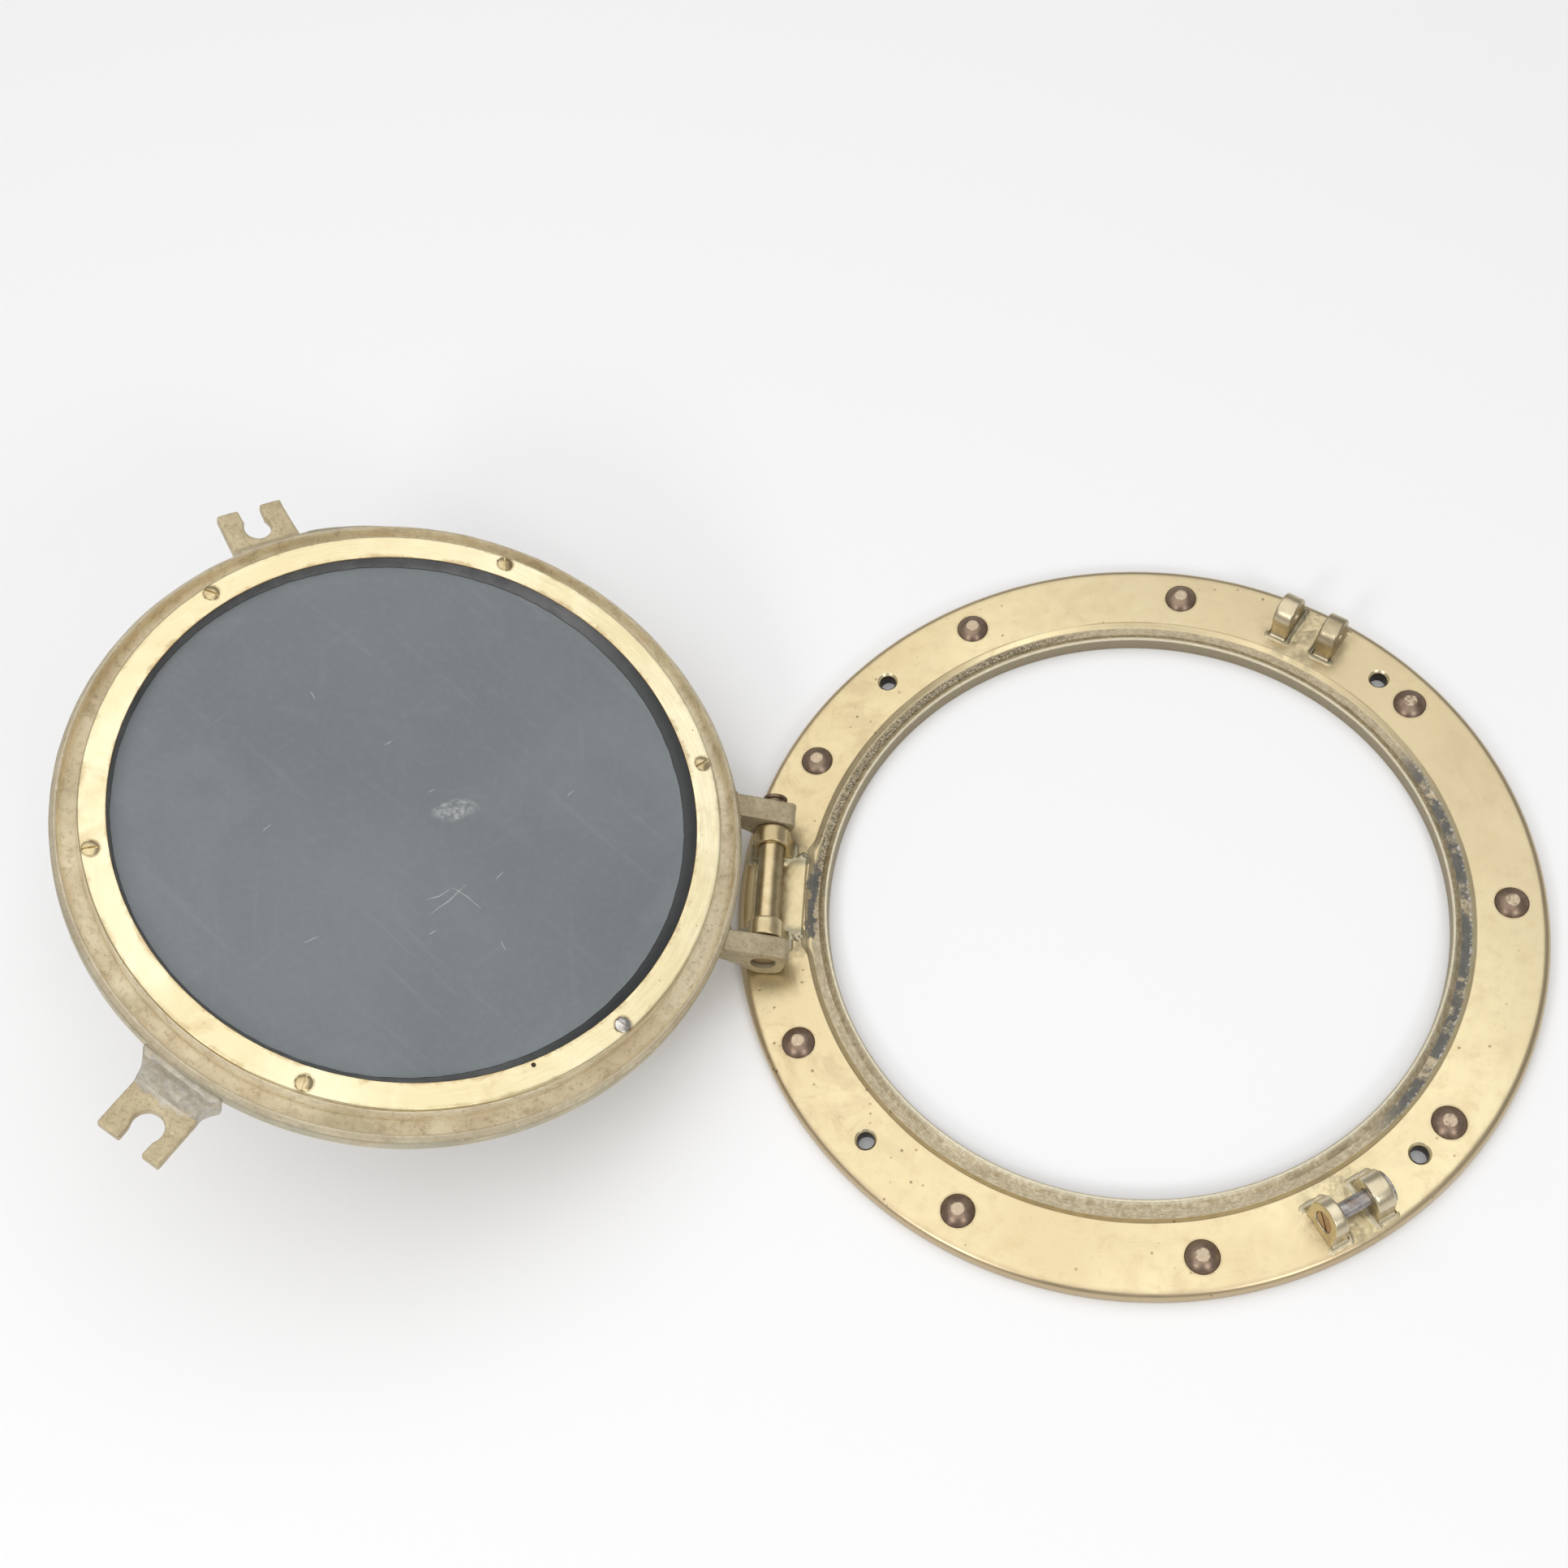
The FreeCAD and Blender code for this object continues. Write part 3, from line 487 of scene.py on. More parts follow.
def rivet_mat():
    """Bronze dome: brown patina, rubbed coppery flat on top, darkened at the foot."""
    m = Mat("bronze_rivet")
    x, y, z = m.xyz()
    n = m.noise(240.0, 5.0, 0.65, dist=0.5)
    col = m.mix(m.step(n, 0.32, 0.70), (0.21, 0.145, 0.105), (0.31, 0.225, 0.165))
    col = m.mix(m.step(m.noise(60.0, 3.0), 0.45, 0.70, 0.0, 0.6), col, (0.33, 0.25, 0.165))
    wob = m.lin(m.noise(500.0, 3.0), 0.3, 0.7, -0.00012, 0.00012)
    top = m.step(m.math("ADD", z, wob), (T + 3.46) * MM, (T + 3.56) * MM)
    tc = m.mix(m.step(m.noise(700.0, 4.0, 0.6), 0.4, 0.65), (0.54, 0.43, 0.30), (0.66, 0.55, 0.39))
    col = m.mix(m.math("MULTIPLY", top, 0.85), col, tc)
    # darker at the foot of the dome
    foot = m.step(z, (T + 0.9) * MM, (T + 0.2) * MM)
    col = m.mix(m.math("MULTIPLY", foot, 0.6), col, (0.06, 0.035, 0.02))
    rough = m.math("ADD", m.lin(n, 0.3, 0.7, 0.33, 0.40), m.math("MULTIPLY", top, 0.05))
    b1 = m.bump(m.noise(900.0, 4.0, 0.6), 0.006)
    b2 = m.bump(m.noise(260.0, 2.0, 0.5), 0.008, b1)
    m.set(Base_Color=col, Metallic=0.85, Roughness=rough, Normal=b2)
    return m.m


def braze_mat(name="braze", lo=(0.46, 0.41, 0.29), hi=(0.64, 0.58, 0.45), spot=(0.66, 0.56, 0.37)):
    """Braze and solder: grey silver skin with tan and dark flux in the hollows."""
    m = Mat(name)
    n = m.noise(150.0, 6.0, 0.72, dist=0.6)
    f = m.noise(600.0, 5.0, 0.7)
    col = m.mix(m.step(n, 0.34, 0.66), lo, hi)
    col = m.mix(m.step(m.noise(300.0, 4.0, 0.7), 0.54, 0.74, 0.0, 0.5), col, tuple(0.72 * v for v in lo))
    col = m.mix(m.step(m.noise(75.0, 4.0, 0.7), 0.50, 0.70, 0.0, 0.6), col, spot)
    x, y, z = m.xyz()
    foot = m.step(m.math("ADD", z, m.lin(n, 0.3, 0.7, -0.00025, 0.00025)), (T + 0.55) * MM, (T + 0.10) * MM)
    col = m.mix(m.math("MULTIPLY", foot, 0.85), col, (0.70, 0.59, 0.36))
    rough = m.lin(f, 0.3, 0.7, 0.30, 0.50)
    b1 = m.bump(m.noise(380.0, 5.0, 0.65), 0.07)
    b2 = m.bump(f, 0.03, b1)
    m.set(Base_Color=col, Metallic=0.9, Roughness=rough, Normal=b2)
    return m.m


def bracket_mat():
    """Worn bracket: tan satin brass on the knuckles, grey-green braze low down at the corners of the pad."""
    m = Mat("worn_bracket")
    x, y, z = m.xyz()
    big = m.noise(36.0, 4.0, 0.6)
    n = m.noise(150.0, 5.0, 0.68, dist=0.5)
    col = m.mix(m.step(big, 0.34, 0.66), (0.49, 0.39, 0.215), (0.63, 0.525, 0.32))
    col = m.mix(m.step(m.noise(70.0, 5.0, 0.68, dist=0.8), 0.50, 0.74, 0.0, 0.6), col, (0.34, 0.26, 0.14))
    padm = m.step(z, (T + 2.6) * MM, (T + 1.8) * MM)
    col = m.mix(m.math("MULTIPLY", padm, 0.8), col, m.mix(m.step(n, 0.36, 0.64), (0.64, 0.53, 0.31), (0.75, 0.64, 0.39)))
    ya = m.math("ABSOLUTE", y)
    yw = m.math("ADD", ya, m.lin(n, 0.3, 0.7, -0.0015, 0.0015))
    zw = m.math("ADD", z, m.lin(n, 0.3, 0.7, -0.0009, 0.0009))
    low = m.math("MULTIPLY", m.step(yw, 0.0150, 0.0185), m.step(zw, (T + 4.0) * MM, (T + 1.2) * MM))
    bc = m.mix(m.step(n, 0.34, 0.66), (0.245, 0.225, 0.15), (0.43, 0.405, 0.30))
    col = m.mix(m.math("MULTIPLY", low, 0.85), col, bc)
    foot = m.step(zw, (T + 1.0) * MM, (T + 0.3) * MM)
    col = m.mix(m.math("MULTIPLY", foot, m.math("SUBTRACT", 0.7, m.math("MULTIPLY", low, 0.5))), col, (0.66, 0.55, 0.335))
    # darker ring round the bore where the rod enters
    dx = m.math("SUBTRACT", x, PIN_X * MM)
    dz = m.math("SUBTRACT", z, (PIN_H + T) * MM)
    rr = m.math("SQRT", m.math("ADD", m.math("MULTIPLY", dx, dx), m.math("MULTIPLY", dz, dz)))
    gr = m.math("MULTIPLY", m.step(rr, 0.0068, 0.0062), m.step(m.noise(400.0, 3.0), 0.3, 0.6, 0.4, 0.9))
    col = m.mix(gr, col, (0.14, 0.105, 0.065))
    rough = m.math("ADD", m.lin(n, 0.3, 0.7, 0.26, 0.38), m.math("MULTIPLY", low, 0.05))
    b = m.bump(m.noise(700.0, 4.0, 0.65), 0.02)
    b2 = m.bump(m.noise(240.0, 4.0, 0.6), 0.03, b)
    m.set(Base_Color=col, Metallic=0.92, Roughness=rough, Normal=b2)
    return m.m


def pin_mat():
    """Rod: bright where it is rubbed along the top; painted shade darkens the sides, olive and brown, and the
    underside, where they reflect shadowed parts.
    """
    m = Mat("turned_pin")
    x, y, z = m.xyz()
    n = m.noise(110.0, 5.0, 0.65)
    sv = m.comb(m.math("MULTIPLY", x, 1500.0), m.math("MULTIPLY", y, 45.0), m.math("MULTIPLY", z, 1500.0))
    sn = m.noise(1.0, 3.0, 0.6, vec=sv)
    # painted shade: the sides of the rod turn olive and brown where they reflect the shadowed knuckles and ring
    dx = m.math("ABSOLUTE", m.math("ADD", m.math("SUBTRACT", x, (PIN_X - 0.3) * MM), m.lin(sn, 0.3, 0.7, -0.0002, 0.0002)))
    side = m.step(dx, 0.0008, 0.0040)
    col = m.mix(m.step(n, 0.34, 0.68), (0.60, 0.475, 0.265), (0.74, 0.61, 0.38))
    col = m.mix(m.math("MULTIPLY", side, 0.85), col, m.mix(m.step(n, 0.4, 0.65), (0.22, 0.165, 0.08), (0.32, 0.26, 0.14)))
    # painted shade on the underside of the rod
    low = m.step(z, (PIN_H + T - 0.5) * MM, (PIN_H + T - 3.0) * MM)
    col = m.mix(m.math("MULTIPLY", low, 0.7), col, (0.25, 0.19, 0.11))
    rough = m.math("ADD", m.lin(sn, 0.3, 0.7, 0.28, 0.36), m.math("MULTIPLY", side, 0.08))
    m.set(Base_Color=col, Metallic=0.95, Roughness=rough, Normal=m.bump(sn, 0.006))
    return m.m


def steel_mat():
    m = Mat("grey_steel_pin")
    x, y, z = m.xyz()
    ca, sa = math.cos(math.radians(30.0)), math.sin(math.radians(30.0))
    n = m.noise(260.0, 5.0, 0.65)
    col = m.mix(m.step(n, 0.34, 0.68), (0.25, 0.235, 0.225), (0.43, 0.41, 0.395))
    col = m.mix(m.step(m.noise(110.0, 5.0, 0.7), 0.54, 0.74, 0.0, 0.6), col, (0.24, 0.15, 0.10))
    rough = m.lin(m.noise(800.0, 3.0), 0.3, 0.7, 0.30, 0.44)
    b = m.bump(m.noise(700.0, 4.0, 0.65), 0.03)
    m.set(Base_Color=col, Metallic=0.95, Roughness=rough, Normal=b)
    return m.m


def bead_mat():
    """Black glazing bead with grey dust."""
    m = Mat("black_bead")
    n = m.noise(90.0, 5.0, 0.65)
    dust = m.step(m.noise(40.0, 6.0, 0.7), 0.45, 0.75)
    col = m.mix(m.step(n, 0.3, 0.7), (0.075, 0.076, 0.074), (0.115, 0.117, 0.113))
    r = m.radius()
    x, y, z = m.xyz()
    line = m.step(z, (T - 2.3) * MM, (T - 2.05) * MM)
    col = m.mix(m.math("MULTIPLY", dust, 0.4), col, (0.19, 0.192, 0.188))
    col = m.mix(m.math("MULTIPLY", line, 0.9), col, (0.012, 0.012, 0.012))
    hinge_side = m.step(x, -0.05, -0.11)
    col = m.mix(m.math("MULTIPLY", hinge_side, 0.88), col, (0.018, 0.019, 0.020))
    rough = m.lin(n, 0.3, 0.7, 0.36, 0.50)
    b = m.bump(m.noise(420.0, 4.0, 0.6), 0.05)
    b2 = m.bump(m.noise(1.0, 3.0, 0.6, vec=m.circ(20.0, 700.0)), 0.05, b)
    m.set(Base_Color=col, Metallic=0.0, Roughness=rough, Normal=b2)
    m.p.inputs["Specular IOR Level"].default_value = 0.55
    return m.m


def gasket_mat():
    m = Mat("gasket_rubber")
    n = m.noise(200.0, 4.0, 0.6)
    col = m.mix(m.step(n, 0.3, 0.7), (0.020, 0.020, 0.020), (0.045, 0.044, 0.042))
    m.set(Base_Color=col, Roughness=m.lin(n, 0.3, 0.7, 0.55, 0.75), Normal=m.bump(m.noise(700.0, 3.0), 0.05))
    return m.m


def paint_mat():
    """Grey backing paint: clouded, wiped, smudged, with hair scratches and a pale label scrap."""
    m = Mat("backing_paint")
    x, y, z = m.xyz()
    big = m.noise(7.0, 4.0, 0.55)
    cloud = m.noise(19.0, 5.0, 0.62, dist=0.8)
    fine = m.noise(300.0, 4.0, 0.65)
    col = m.mix(m.step(big, 0.30, 0.70), (0.150, 0.168, 0.178), (0.178, 0.198, 0.208))
    col = m.mix(m.step(cloud, 0.48, 0.72, 0.0, 0.45), col, (0.200, 0.222, 0.232))
    col = m.mix(m.step(fine, 0.40, 0.75, 0.0, 0.12), col, (0.28, 0.30, 0.30))
    # wiping marks at two slants
    smear = []
    for ang, s, lo in ((35.0, 8.0, 0.56), (-50.0, 11.0, 0.60), (80.0, 6.0, 0.60)):
        a = math.radians(ang)
        u = m.math("ADD", m.math("MULTIPLY", x, math.cos(a)), m.math("MULTIPLY", y, math.sin(a)))
        v = m.math("SUBTRACT", m.math("MULTIPLY", y, math.cos(a)), m.math("MULTIPLY", x, math.sin(a)))
        sv = m.comb(m.math("MULTIPLY", u, s), m.math("MULTIPLY", v, s * 16.0), 0.0)
        smear.append(m.step(m.noise(1.0, 4.0, 0.6, vec=sv), lo, lo + 0.16))
    sm = mx(m, *smear)
    col = m.mix(m.math("MULTIPLY", sm, 0.16), col, (0.30, 0.32, 0.33))
    # dark thin line of grime against the bead is in the bead itself; dust gathers near it
    r = m.radius()
    rim = m.math("MULTIPLY", m.step(r, 0.114, 0.131), m.step(cloud, 0.38, 0.62, 0.2, 0.9))
    col = m.mix(m.math("MULTIPLY", rim, 0.22), col, (0.27, 0.285, 0.285))
    # label scrap, a rounded oblong worn to patches
    lx, ly = polar(9.2, 19.6)
    a = math.radians(-24.0)
    dx = m.math("SUBTRACT", x, lx * MM)
    dy = m.math("SUBTRACT", y, ly * MM)
    u = m.math("ADD", m.math("MULTIPLY", dx, math.cos(a)), m.math("MULTIPLY", dy, math.sin(a)))
    v = m.math("SUBTRACT", m.math("MULTIPLY", dy, math.cos(a)), m.math("MULTIPLY", dx, math.sin(a)))
    eu = m.math("DIVIDE", u, 0.0112)
    ev = m.math("DIVIDE", v, 0.0054)
    el = m.math("ADD", m.math("MULTIPLY", eu, eu), m.math("MULTIPLY", ev, ev))
    lab = m.step(m.math("ADD", el, m.lin(m.noise(210.0, 5.0, 0.7), 0.3, 0.7, -0.45, 0.45)), 0.55, 1.25, 1.0, 0.0)
    worn = m.step(m.noise(420.0, 6.0, 0.75), 0.40, 0.62)
    soft = m.lin(m.noise(240.0, 4.0, 0.6), 0.3, 0.7, 0.3, 0.9)
    labm = m.math("MULTIPLY", m.math("MULTIPLY", lab, worn), soft)
    col = m.mix(m.math("MULTIPLY", labm, 1.0), col, (0.50, 0.51, 0.49))
    rough = m.math("ADD", m.lin(cloud, 0.3, 0.7, 0.33, 0.42), m.math("MULTIPLY", sm, 0.08))
    rough = m.math("ADD", rough, m.math("MULTIPLY", labm, 0.2))
    b1 = m.bump(m.noise(900.0, 3.0, 0.6), 0.006)
    b2 = m.bump(m.noise(90.0, 4.0, 0.6), 0.02, b1)
    m.set(Base_Color=col, Metallic=0.0, Roughness=rough, Normal=b2)
    m.p.inputs["Specular IOR Level"].default_value = 0.42
    return m.m


def scratch_mat():
    m = Mat("paint_scratch")
    n = m.noise(900.0, 4.0, 0.6)
    col = m.mix(m.step(n, 0.3, 0.7), (0.34, 0.355, 0.355), (0.56, 0.57, 0.56))
    m.set(Base_Color=col, Roughness=m.lin(n, 0.3, 0.7, 0.45, 0.6))
    return m.m


def mirror_mat():
    """Silvered pane, with faint specks and wiping haze."""
    m = Mat("mirror_glass")
    haze = m.noise(14.0, 5.0, 0.65, dist=0.8)
    sp = m.voronoi(120.0)
    specks = m.math("MULTIPLY", m.step(sp, 0.04, 0.10, 1.0, 0.0), m.step(m.noise(18.0, 2.0), 0.56, 0.66))
    r = m.vmath("DISTANCE", m.co, tuple(M_OPEN @ Vector((0.0, 0.0, T * MM))), out=1)
    foxed = m.math("MULTIPLY", m.step(m.math("ADD", r, m.lin(m.noise(60.0, 5.0, 0.7), 0.3, 0.7, -0.004, 0.004)), 0.1215, 0.1275),
                   m.step(m.noise(150.0, 4.0, 0.7), 0.45, 0.6))
    col = m.mix(m.step(haze, 0.3, 0.7), (0.83, 0.855, 0.86), (0.89, 0.905, 0.905))
    col = m.mix(m.math("MULTIPLY", mx(m, specks, foxed), 0.7), col, (0.30, 0.29, 0.26))
    rough = m.math("ADD", m.lin(haze, 0.3, 0.7, 0.015, 0.045), m.math("MULTIPLY", foxed, 0.2))
    m.set(Base_Color=col, Metallic=1.0, Roughness=rough, Normal=m.bump(m.noise(30.0, 2.0, 0.5), 0.01))
    m.p.inputs["Coat Weight"].default_value = 1.0
    m.p.inputs["Coat Roughness"].default_value = 0.02
    return m.m


MAT = {
    "ring": satin_ring(),
    "bright": bright_ring(),
    "rivet": rivet_mat(),
    "lug": polished("polished_lug", (0.58, 0.50, 0.34), (0.76, 0.68, 0.50), (0.38, 0.31, 0.21), 0.5, 0.25, 0.34, 0.005),
    "lug_far": polished("dull_lug", (0.42, 0.35, 0.225), (0.60, 0.52, 0.355), (0.30, 0.24, 0.15), 0.6, 0.27, 0.37, 0.006),
    "bracket": bracket_mat(),
    "pin": pin_mat(),
    "pin_end": polished("pin_end_brown", (0.13, 0.095, 0.065), (0.26, 0.195, 0.13), (0.07, 0.05, 0.035), 0.6, 0.28, 0.45, 0.02),
    "screw": polished("slotted_screw", (0.42, 0.32, 0.165), (0.70, 0.58, 0.34), (0.20, 0.14, 0.07), 0.7, 0.22, 0.36, 0.02, scale=3.0),
    "screw_grey": polished("slotted_screw_worn", (0.42, 0.40, 0.37), (0.70, 0.68, 0.64), (0.26, 0.18, 0.10), 0.6, 0.20, 0.34, 0.02, scale=3.0),
    "cast": cast_brass("cast_brass_frame", 1.14, ((T + 8.6) * MM, (T + 9.8) * MM), rim=True),
    "cast_lug": cast_brass("cast_brass_lug", 0.74, None, dark=0.75, grain=0.16, gold=True),
    "fork_far": cast_brass("cast_brass_fork_far", 0.97, None, dark=0.45, grain=0.14, braze=(162.5, 0.45), gold=True),
    "fork_near": cast_brass("cast_brass_fork_near", 0.95, None, dark=0.45, grain=0.14, braze=(168.6, 0.95), gold=True),
    "braze": braze_mat("braze", (0.42, 0.37, 0.26), (0.60, 0.54, 0.41)),
    "braze_far": braze_mat("braze_dark", (0.19, 0.168, 0.113), (0.35, 0.31, 0.222), (0.38, 0.325, 0.205)),
    "steel": steel_mat(),
    "pin_head": polished("copper_brown_head", (0.36, 0.235, 0.15), (0.50, 0.36, 0.245), (0.20, 0.13, 0.085), 0.6, 0.26, 0.40, 0.015, scale=2.0),
    "bead": bead_mat(),
    "gasket": gasket_mat(),
    "paint": paint_mat(),
    "scratch": scratch_mat(),
    "mirror": mirror_mat(),
}


# ------------------------------------------------------------------ mesh helpers
def place(name, mesh, body, mat, shut=False, nodes=(), smooth=True, angle=None):
    for poly in mesh.polygons:
        poly.use_smooth = smooth
    if angle is not None:
        mesh.set_sharp_from_angle(angle=math.radians(angle))
    ob = bpy.data.objects.new(name, mesh)
    bpy.context.scene.collection.objects.link(ob)
    mesh.materials.clear()
    mesh.materials.append(MAT[mat])
    if shut:
        ob.matrix_world = M_OPEN
    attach(ob, body)
    if nodes:
        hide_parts(*nodes)
    return ob


def mesh_from(name, verts, faces, scale=MM):
    me = bpy.data.meshes.new(name)
    me.from_pydata([tuple(c * scale for c in v) for v in verts], [], faces)
    me.validate()
    me.update()
    return me


def fix_normals(me):
    bm = bmesh.new()
    bm.from_mesh(me)
    bmesh.ops.recalc_face_normals(bm, faces=bm.faces)
    bm.to_mesh(me)
    bm.free()
    me.update()


def round_loop(pts, steps=5):
    """Closed polygon of (a, b, radius): each corner becomes an arc of that radius."""
    out = []
    n = len(pts)
    for i in range(n):
        p0, p1, p2 = pts[i - 1], pts[i], pts[(i + 1) % n]
        a = np.array(p1[:2], float)
        rad = p1[2] if len(p1) > 2 else 0.0
        d0 = np.array(p0[:2], float) - a
        d1 = np.array(p2[:2], float) - a
        l0, l1 = np.linalg.norm(d0), np.linalg.norm(d1)
        if rad <= 0 or l0 < 1e-6 or l1 < 1e-6:
            out.append(tuple(a))
            continue
        d0, d1 = d0 / l0, d1 / l1
        half = math.acos(max(-1, min(1, float(d0 @ d1)))) / 2
        if half > math.pi / 2 - 0.02:
            out.append(tuple(a))
            continue
        cut = min(rad / math.tan(half), 0.48 * l0, 0.48 * l1)
        r = cut * math.tan(half)
        bis = d0 + d1
        bis /= np.linalg.norm(bis)
        c = a + bis * (r / math.sin(half))
        s, e = a + d0 * cut, a + d1 * cut
        a0 = math.atan2(*(s - c)[::-1])
        a1 = math.atan2(*(e - c)[::-1])
        da = (a1 - a0 + math.pi) % (2 * math.pi) - math.pi
        for k in range(steps + 1):
            t = a0 + da * k / steps
            out.append((c[0] + r * math.cos(t), c[1] + r * math.sin(t)))
    return out


def arc3(p, q, s, n=8):
    """Points on the arc from p through q to s, p left out."""
    (ax, ay), (bx, by), (cx, cy) = p, q, s
    d = 2 * (ax * (by - cy) + bx * (cy - ay) + cx * (ay - by))
    ux = ((ax * ax + ay * ay) * (by - cy) + (bx * bx + by * by) * (cy - ay) + (cx * cx + cy * cy) * (ay - by)) / d
    uy = ((ax * ax + ay * ay) * (cx - bx) + (bx * bx + by * by) * (ax - cx) + (cx * cx + cy * cy) * (bx - ax)) / d
    r = math.hypot(ax - ux, ay - uy)
    a0 = math.atan2(ay - uy, ax - ux)
    am = (math.atan2(by - uy, bx - ux) - a0 + math.pi) % (2 * math.pi) - math.pi
    a1 = (math.atan2(cy - uy, cx - ux) - a0 + math.pi) % (2 * math.pi) - math.pi
    if am * a1 < 0:
        a1 += math.copysign(2 * math.pi, am)
    return [(ux + r * math.cos(a0 + a1 * k / n), uy + r * math.sin(a0 + a1 * k / n)) for k in range(1, n + 1)]


def fill_loop(loop, step):
    """Adds points so that no side of the closed loop is longer than step."""
    out = []
    n = len(loop)
    for i in range(n):
        a, b = np.array(loop[i]), np.array(loop[(i + 1) % n])
        k = max(1, int(math.ceil(np.linalg.norm(b - a) / step)))
        for j in range(k):
            out.append(tuple(a + (b - a) * j / k))
    return out


def revolve(loop, nseg, closed=True):
    n = len(loop)
    verts, faces = [], []
    for s in range(nseg):
        a = 2 * math.pi * s / nseg
        ca, sa = math.cos(a), math.sin(a)
        verts += [(r * ca, r * sa, z) for r, z in loop]
    for s in range(nseg):
        t = (s + 1) % nseg
        for i in range(n if closed else n - 1):
            j = (i + 1) % n
            faces.append((s * n + i, t * n + i, t * n + j, s * n + j))
    return verts, faces


def displace(me, fn):
    """Moves each vertex along its normal by fn(co in mm, normal) mm."""
    me.update()
    cos = [v.co.copy() for v in me.vertices]
    nor = [v.normal.copy() for v in me.vertices]
    for v, c, n in zip(me.vertices, cos, nor):
        v.co = c + n * (fn(c / MM, n) * MM)
    me.update()


def nz(c, s, seed=0.0):
    """Smooth noise, -1 to 1, of a size s mm."""
    return noise.noise(Vector((c[0] / s + seed, c[1] / s - seed * 1.7, c[2] / s + seed * 0.6)))


def sm(v, lo, hi):
    t = max(0.0, min(1.0, (v - lo) / (hi - lo)))
    return t * t * (3 - 2 * t)


def evaluated(ob):
    dg = bpy.context.evaluated_depsgraph_get()
    dg.update()
    me = bpy.data.meshes.new_from_object(ob.evaluated_get(dg))
    return me


def temp(me):
    ob = bpy.data.objects.new("tmp_work", me)
    bpy.context.scene.collection.objects.link(ob)
    return ob


def drop(ob):
    me = ob.data
    bpy.data.objects.remove(ob)
    if me and me.users == 0:
        bpy.data.meshes.remove(me)


def boolean(me, cutter_me, op="DIFFERENCE"):
    a, b = temp(me), temp(cutter_me)
    mod = a.modifiers.new("b", "BOOLEAN")
    mod.operation = op
    mod.object = b
    mod.solver = "EXACT"
    out = evaluated(a)
    drop(a)
    drop(b)
    return out


def remeshed(me, voxel, smooth_iter=4, factor=0.5):
    a = temp(me)
    mod = a.modifiers.new("r", "REMESH")
    mod.mode = "VOXEL"
    mod.voxel_size = voxel * MM
    if smooth_iter:
        s = a.modifiers.new("s", "SMOOTH")
        s.factor = factor
        s.iterations = smooth_iter
    out = evaluated(a)
    drop(a)
    return out


def node_copy(name, shut):
    me = frame["nodes"][name].data.copy()
    bm = bmesh.new()
    bm.from_mesh(me)
    bmesh.ops.remove_doubles(bm, verts=bm.verts, dist=1e-6)
    bm.to_mesh(me)
    bm.free()
    if shut:
        me.transform(M_SHUT)
    return me


def lathe_mesh(name, pts, nseg, steps=5, step=2.0):
    v, f = revolve(fill_loop(round_loop(pts, steps), step), nseg)
    me = mesh_from(name, v, f)
    fix_normals(me)
    return me


def spin_solid(name, prof, nseg, axis_pts=True):
    """Solid of revolution from a profile that starts and ends on the axis (r = 0)."""
    inner = prof[1:-1]
    n = len(inner)
    verts = [(0, 0, prof[0][1])]
    for s in range(nseg):
        a = 2 * math.pi * s / nseg
        verts += [(r * math.cos(a), r * math.sin(a), z) for r, z in inner]
    verts.append((0, 0, prof[-1][1]))
    last = len(verts) - 1
    faces = []
    for s in range(nseg):
        t = (s + 1) % nseg
        faces.append((0, 1 + t * n, 1 + s * n))
        for i in range(n - 1):
            faces.append((1 + s * n + i, 1 + t * n + i, 1 + t * n + i + 1, 1 + s * n + i + 1))
        faces.append((1 + s * n + n - 1, 1 + t * n + n - 1, last))
    me = mesh_from(name, verts, faces)
    fix_normals(me)
    return me


def resample(loop, n):
    p = np.array(loop, float)
    q = np.vstack([p, p[:1]])
    d = np.r_[0, np.cumsum(np.linalg.norm(np.diff(q, axis=0), axis=1))]
    t = np.linspace(0, d[-1], n, endpoint=False)
    return np.c_[np.interp(t, d, q[:, 0]), np.interp(t, d, q[:, 1])]


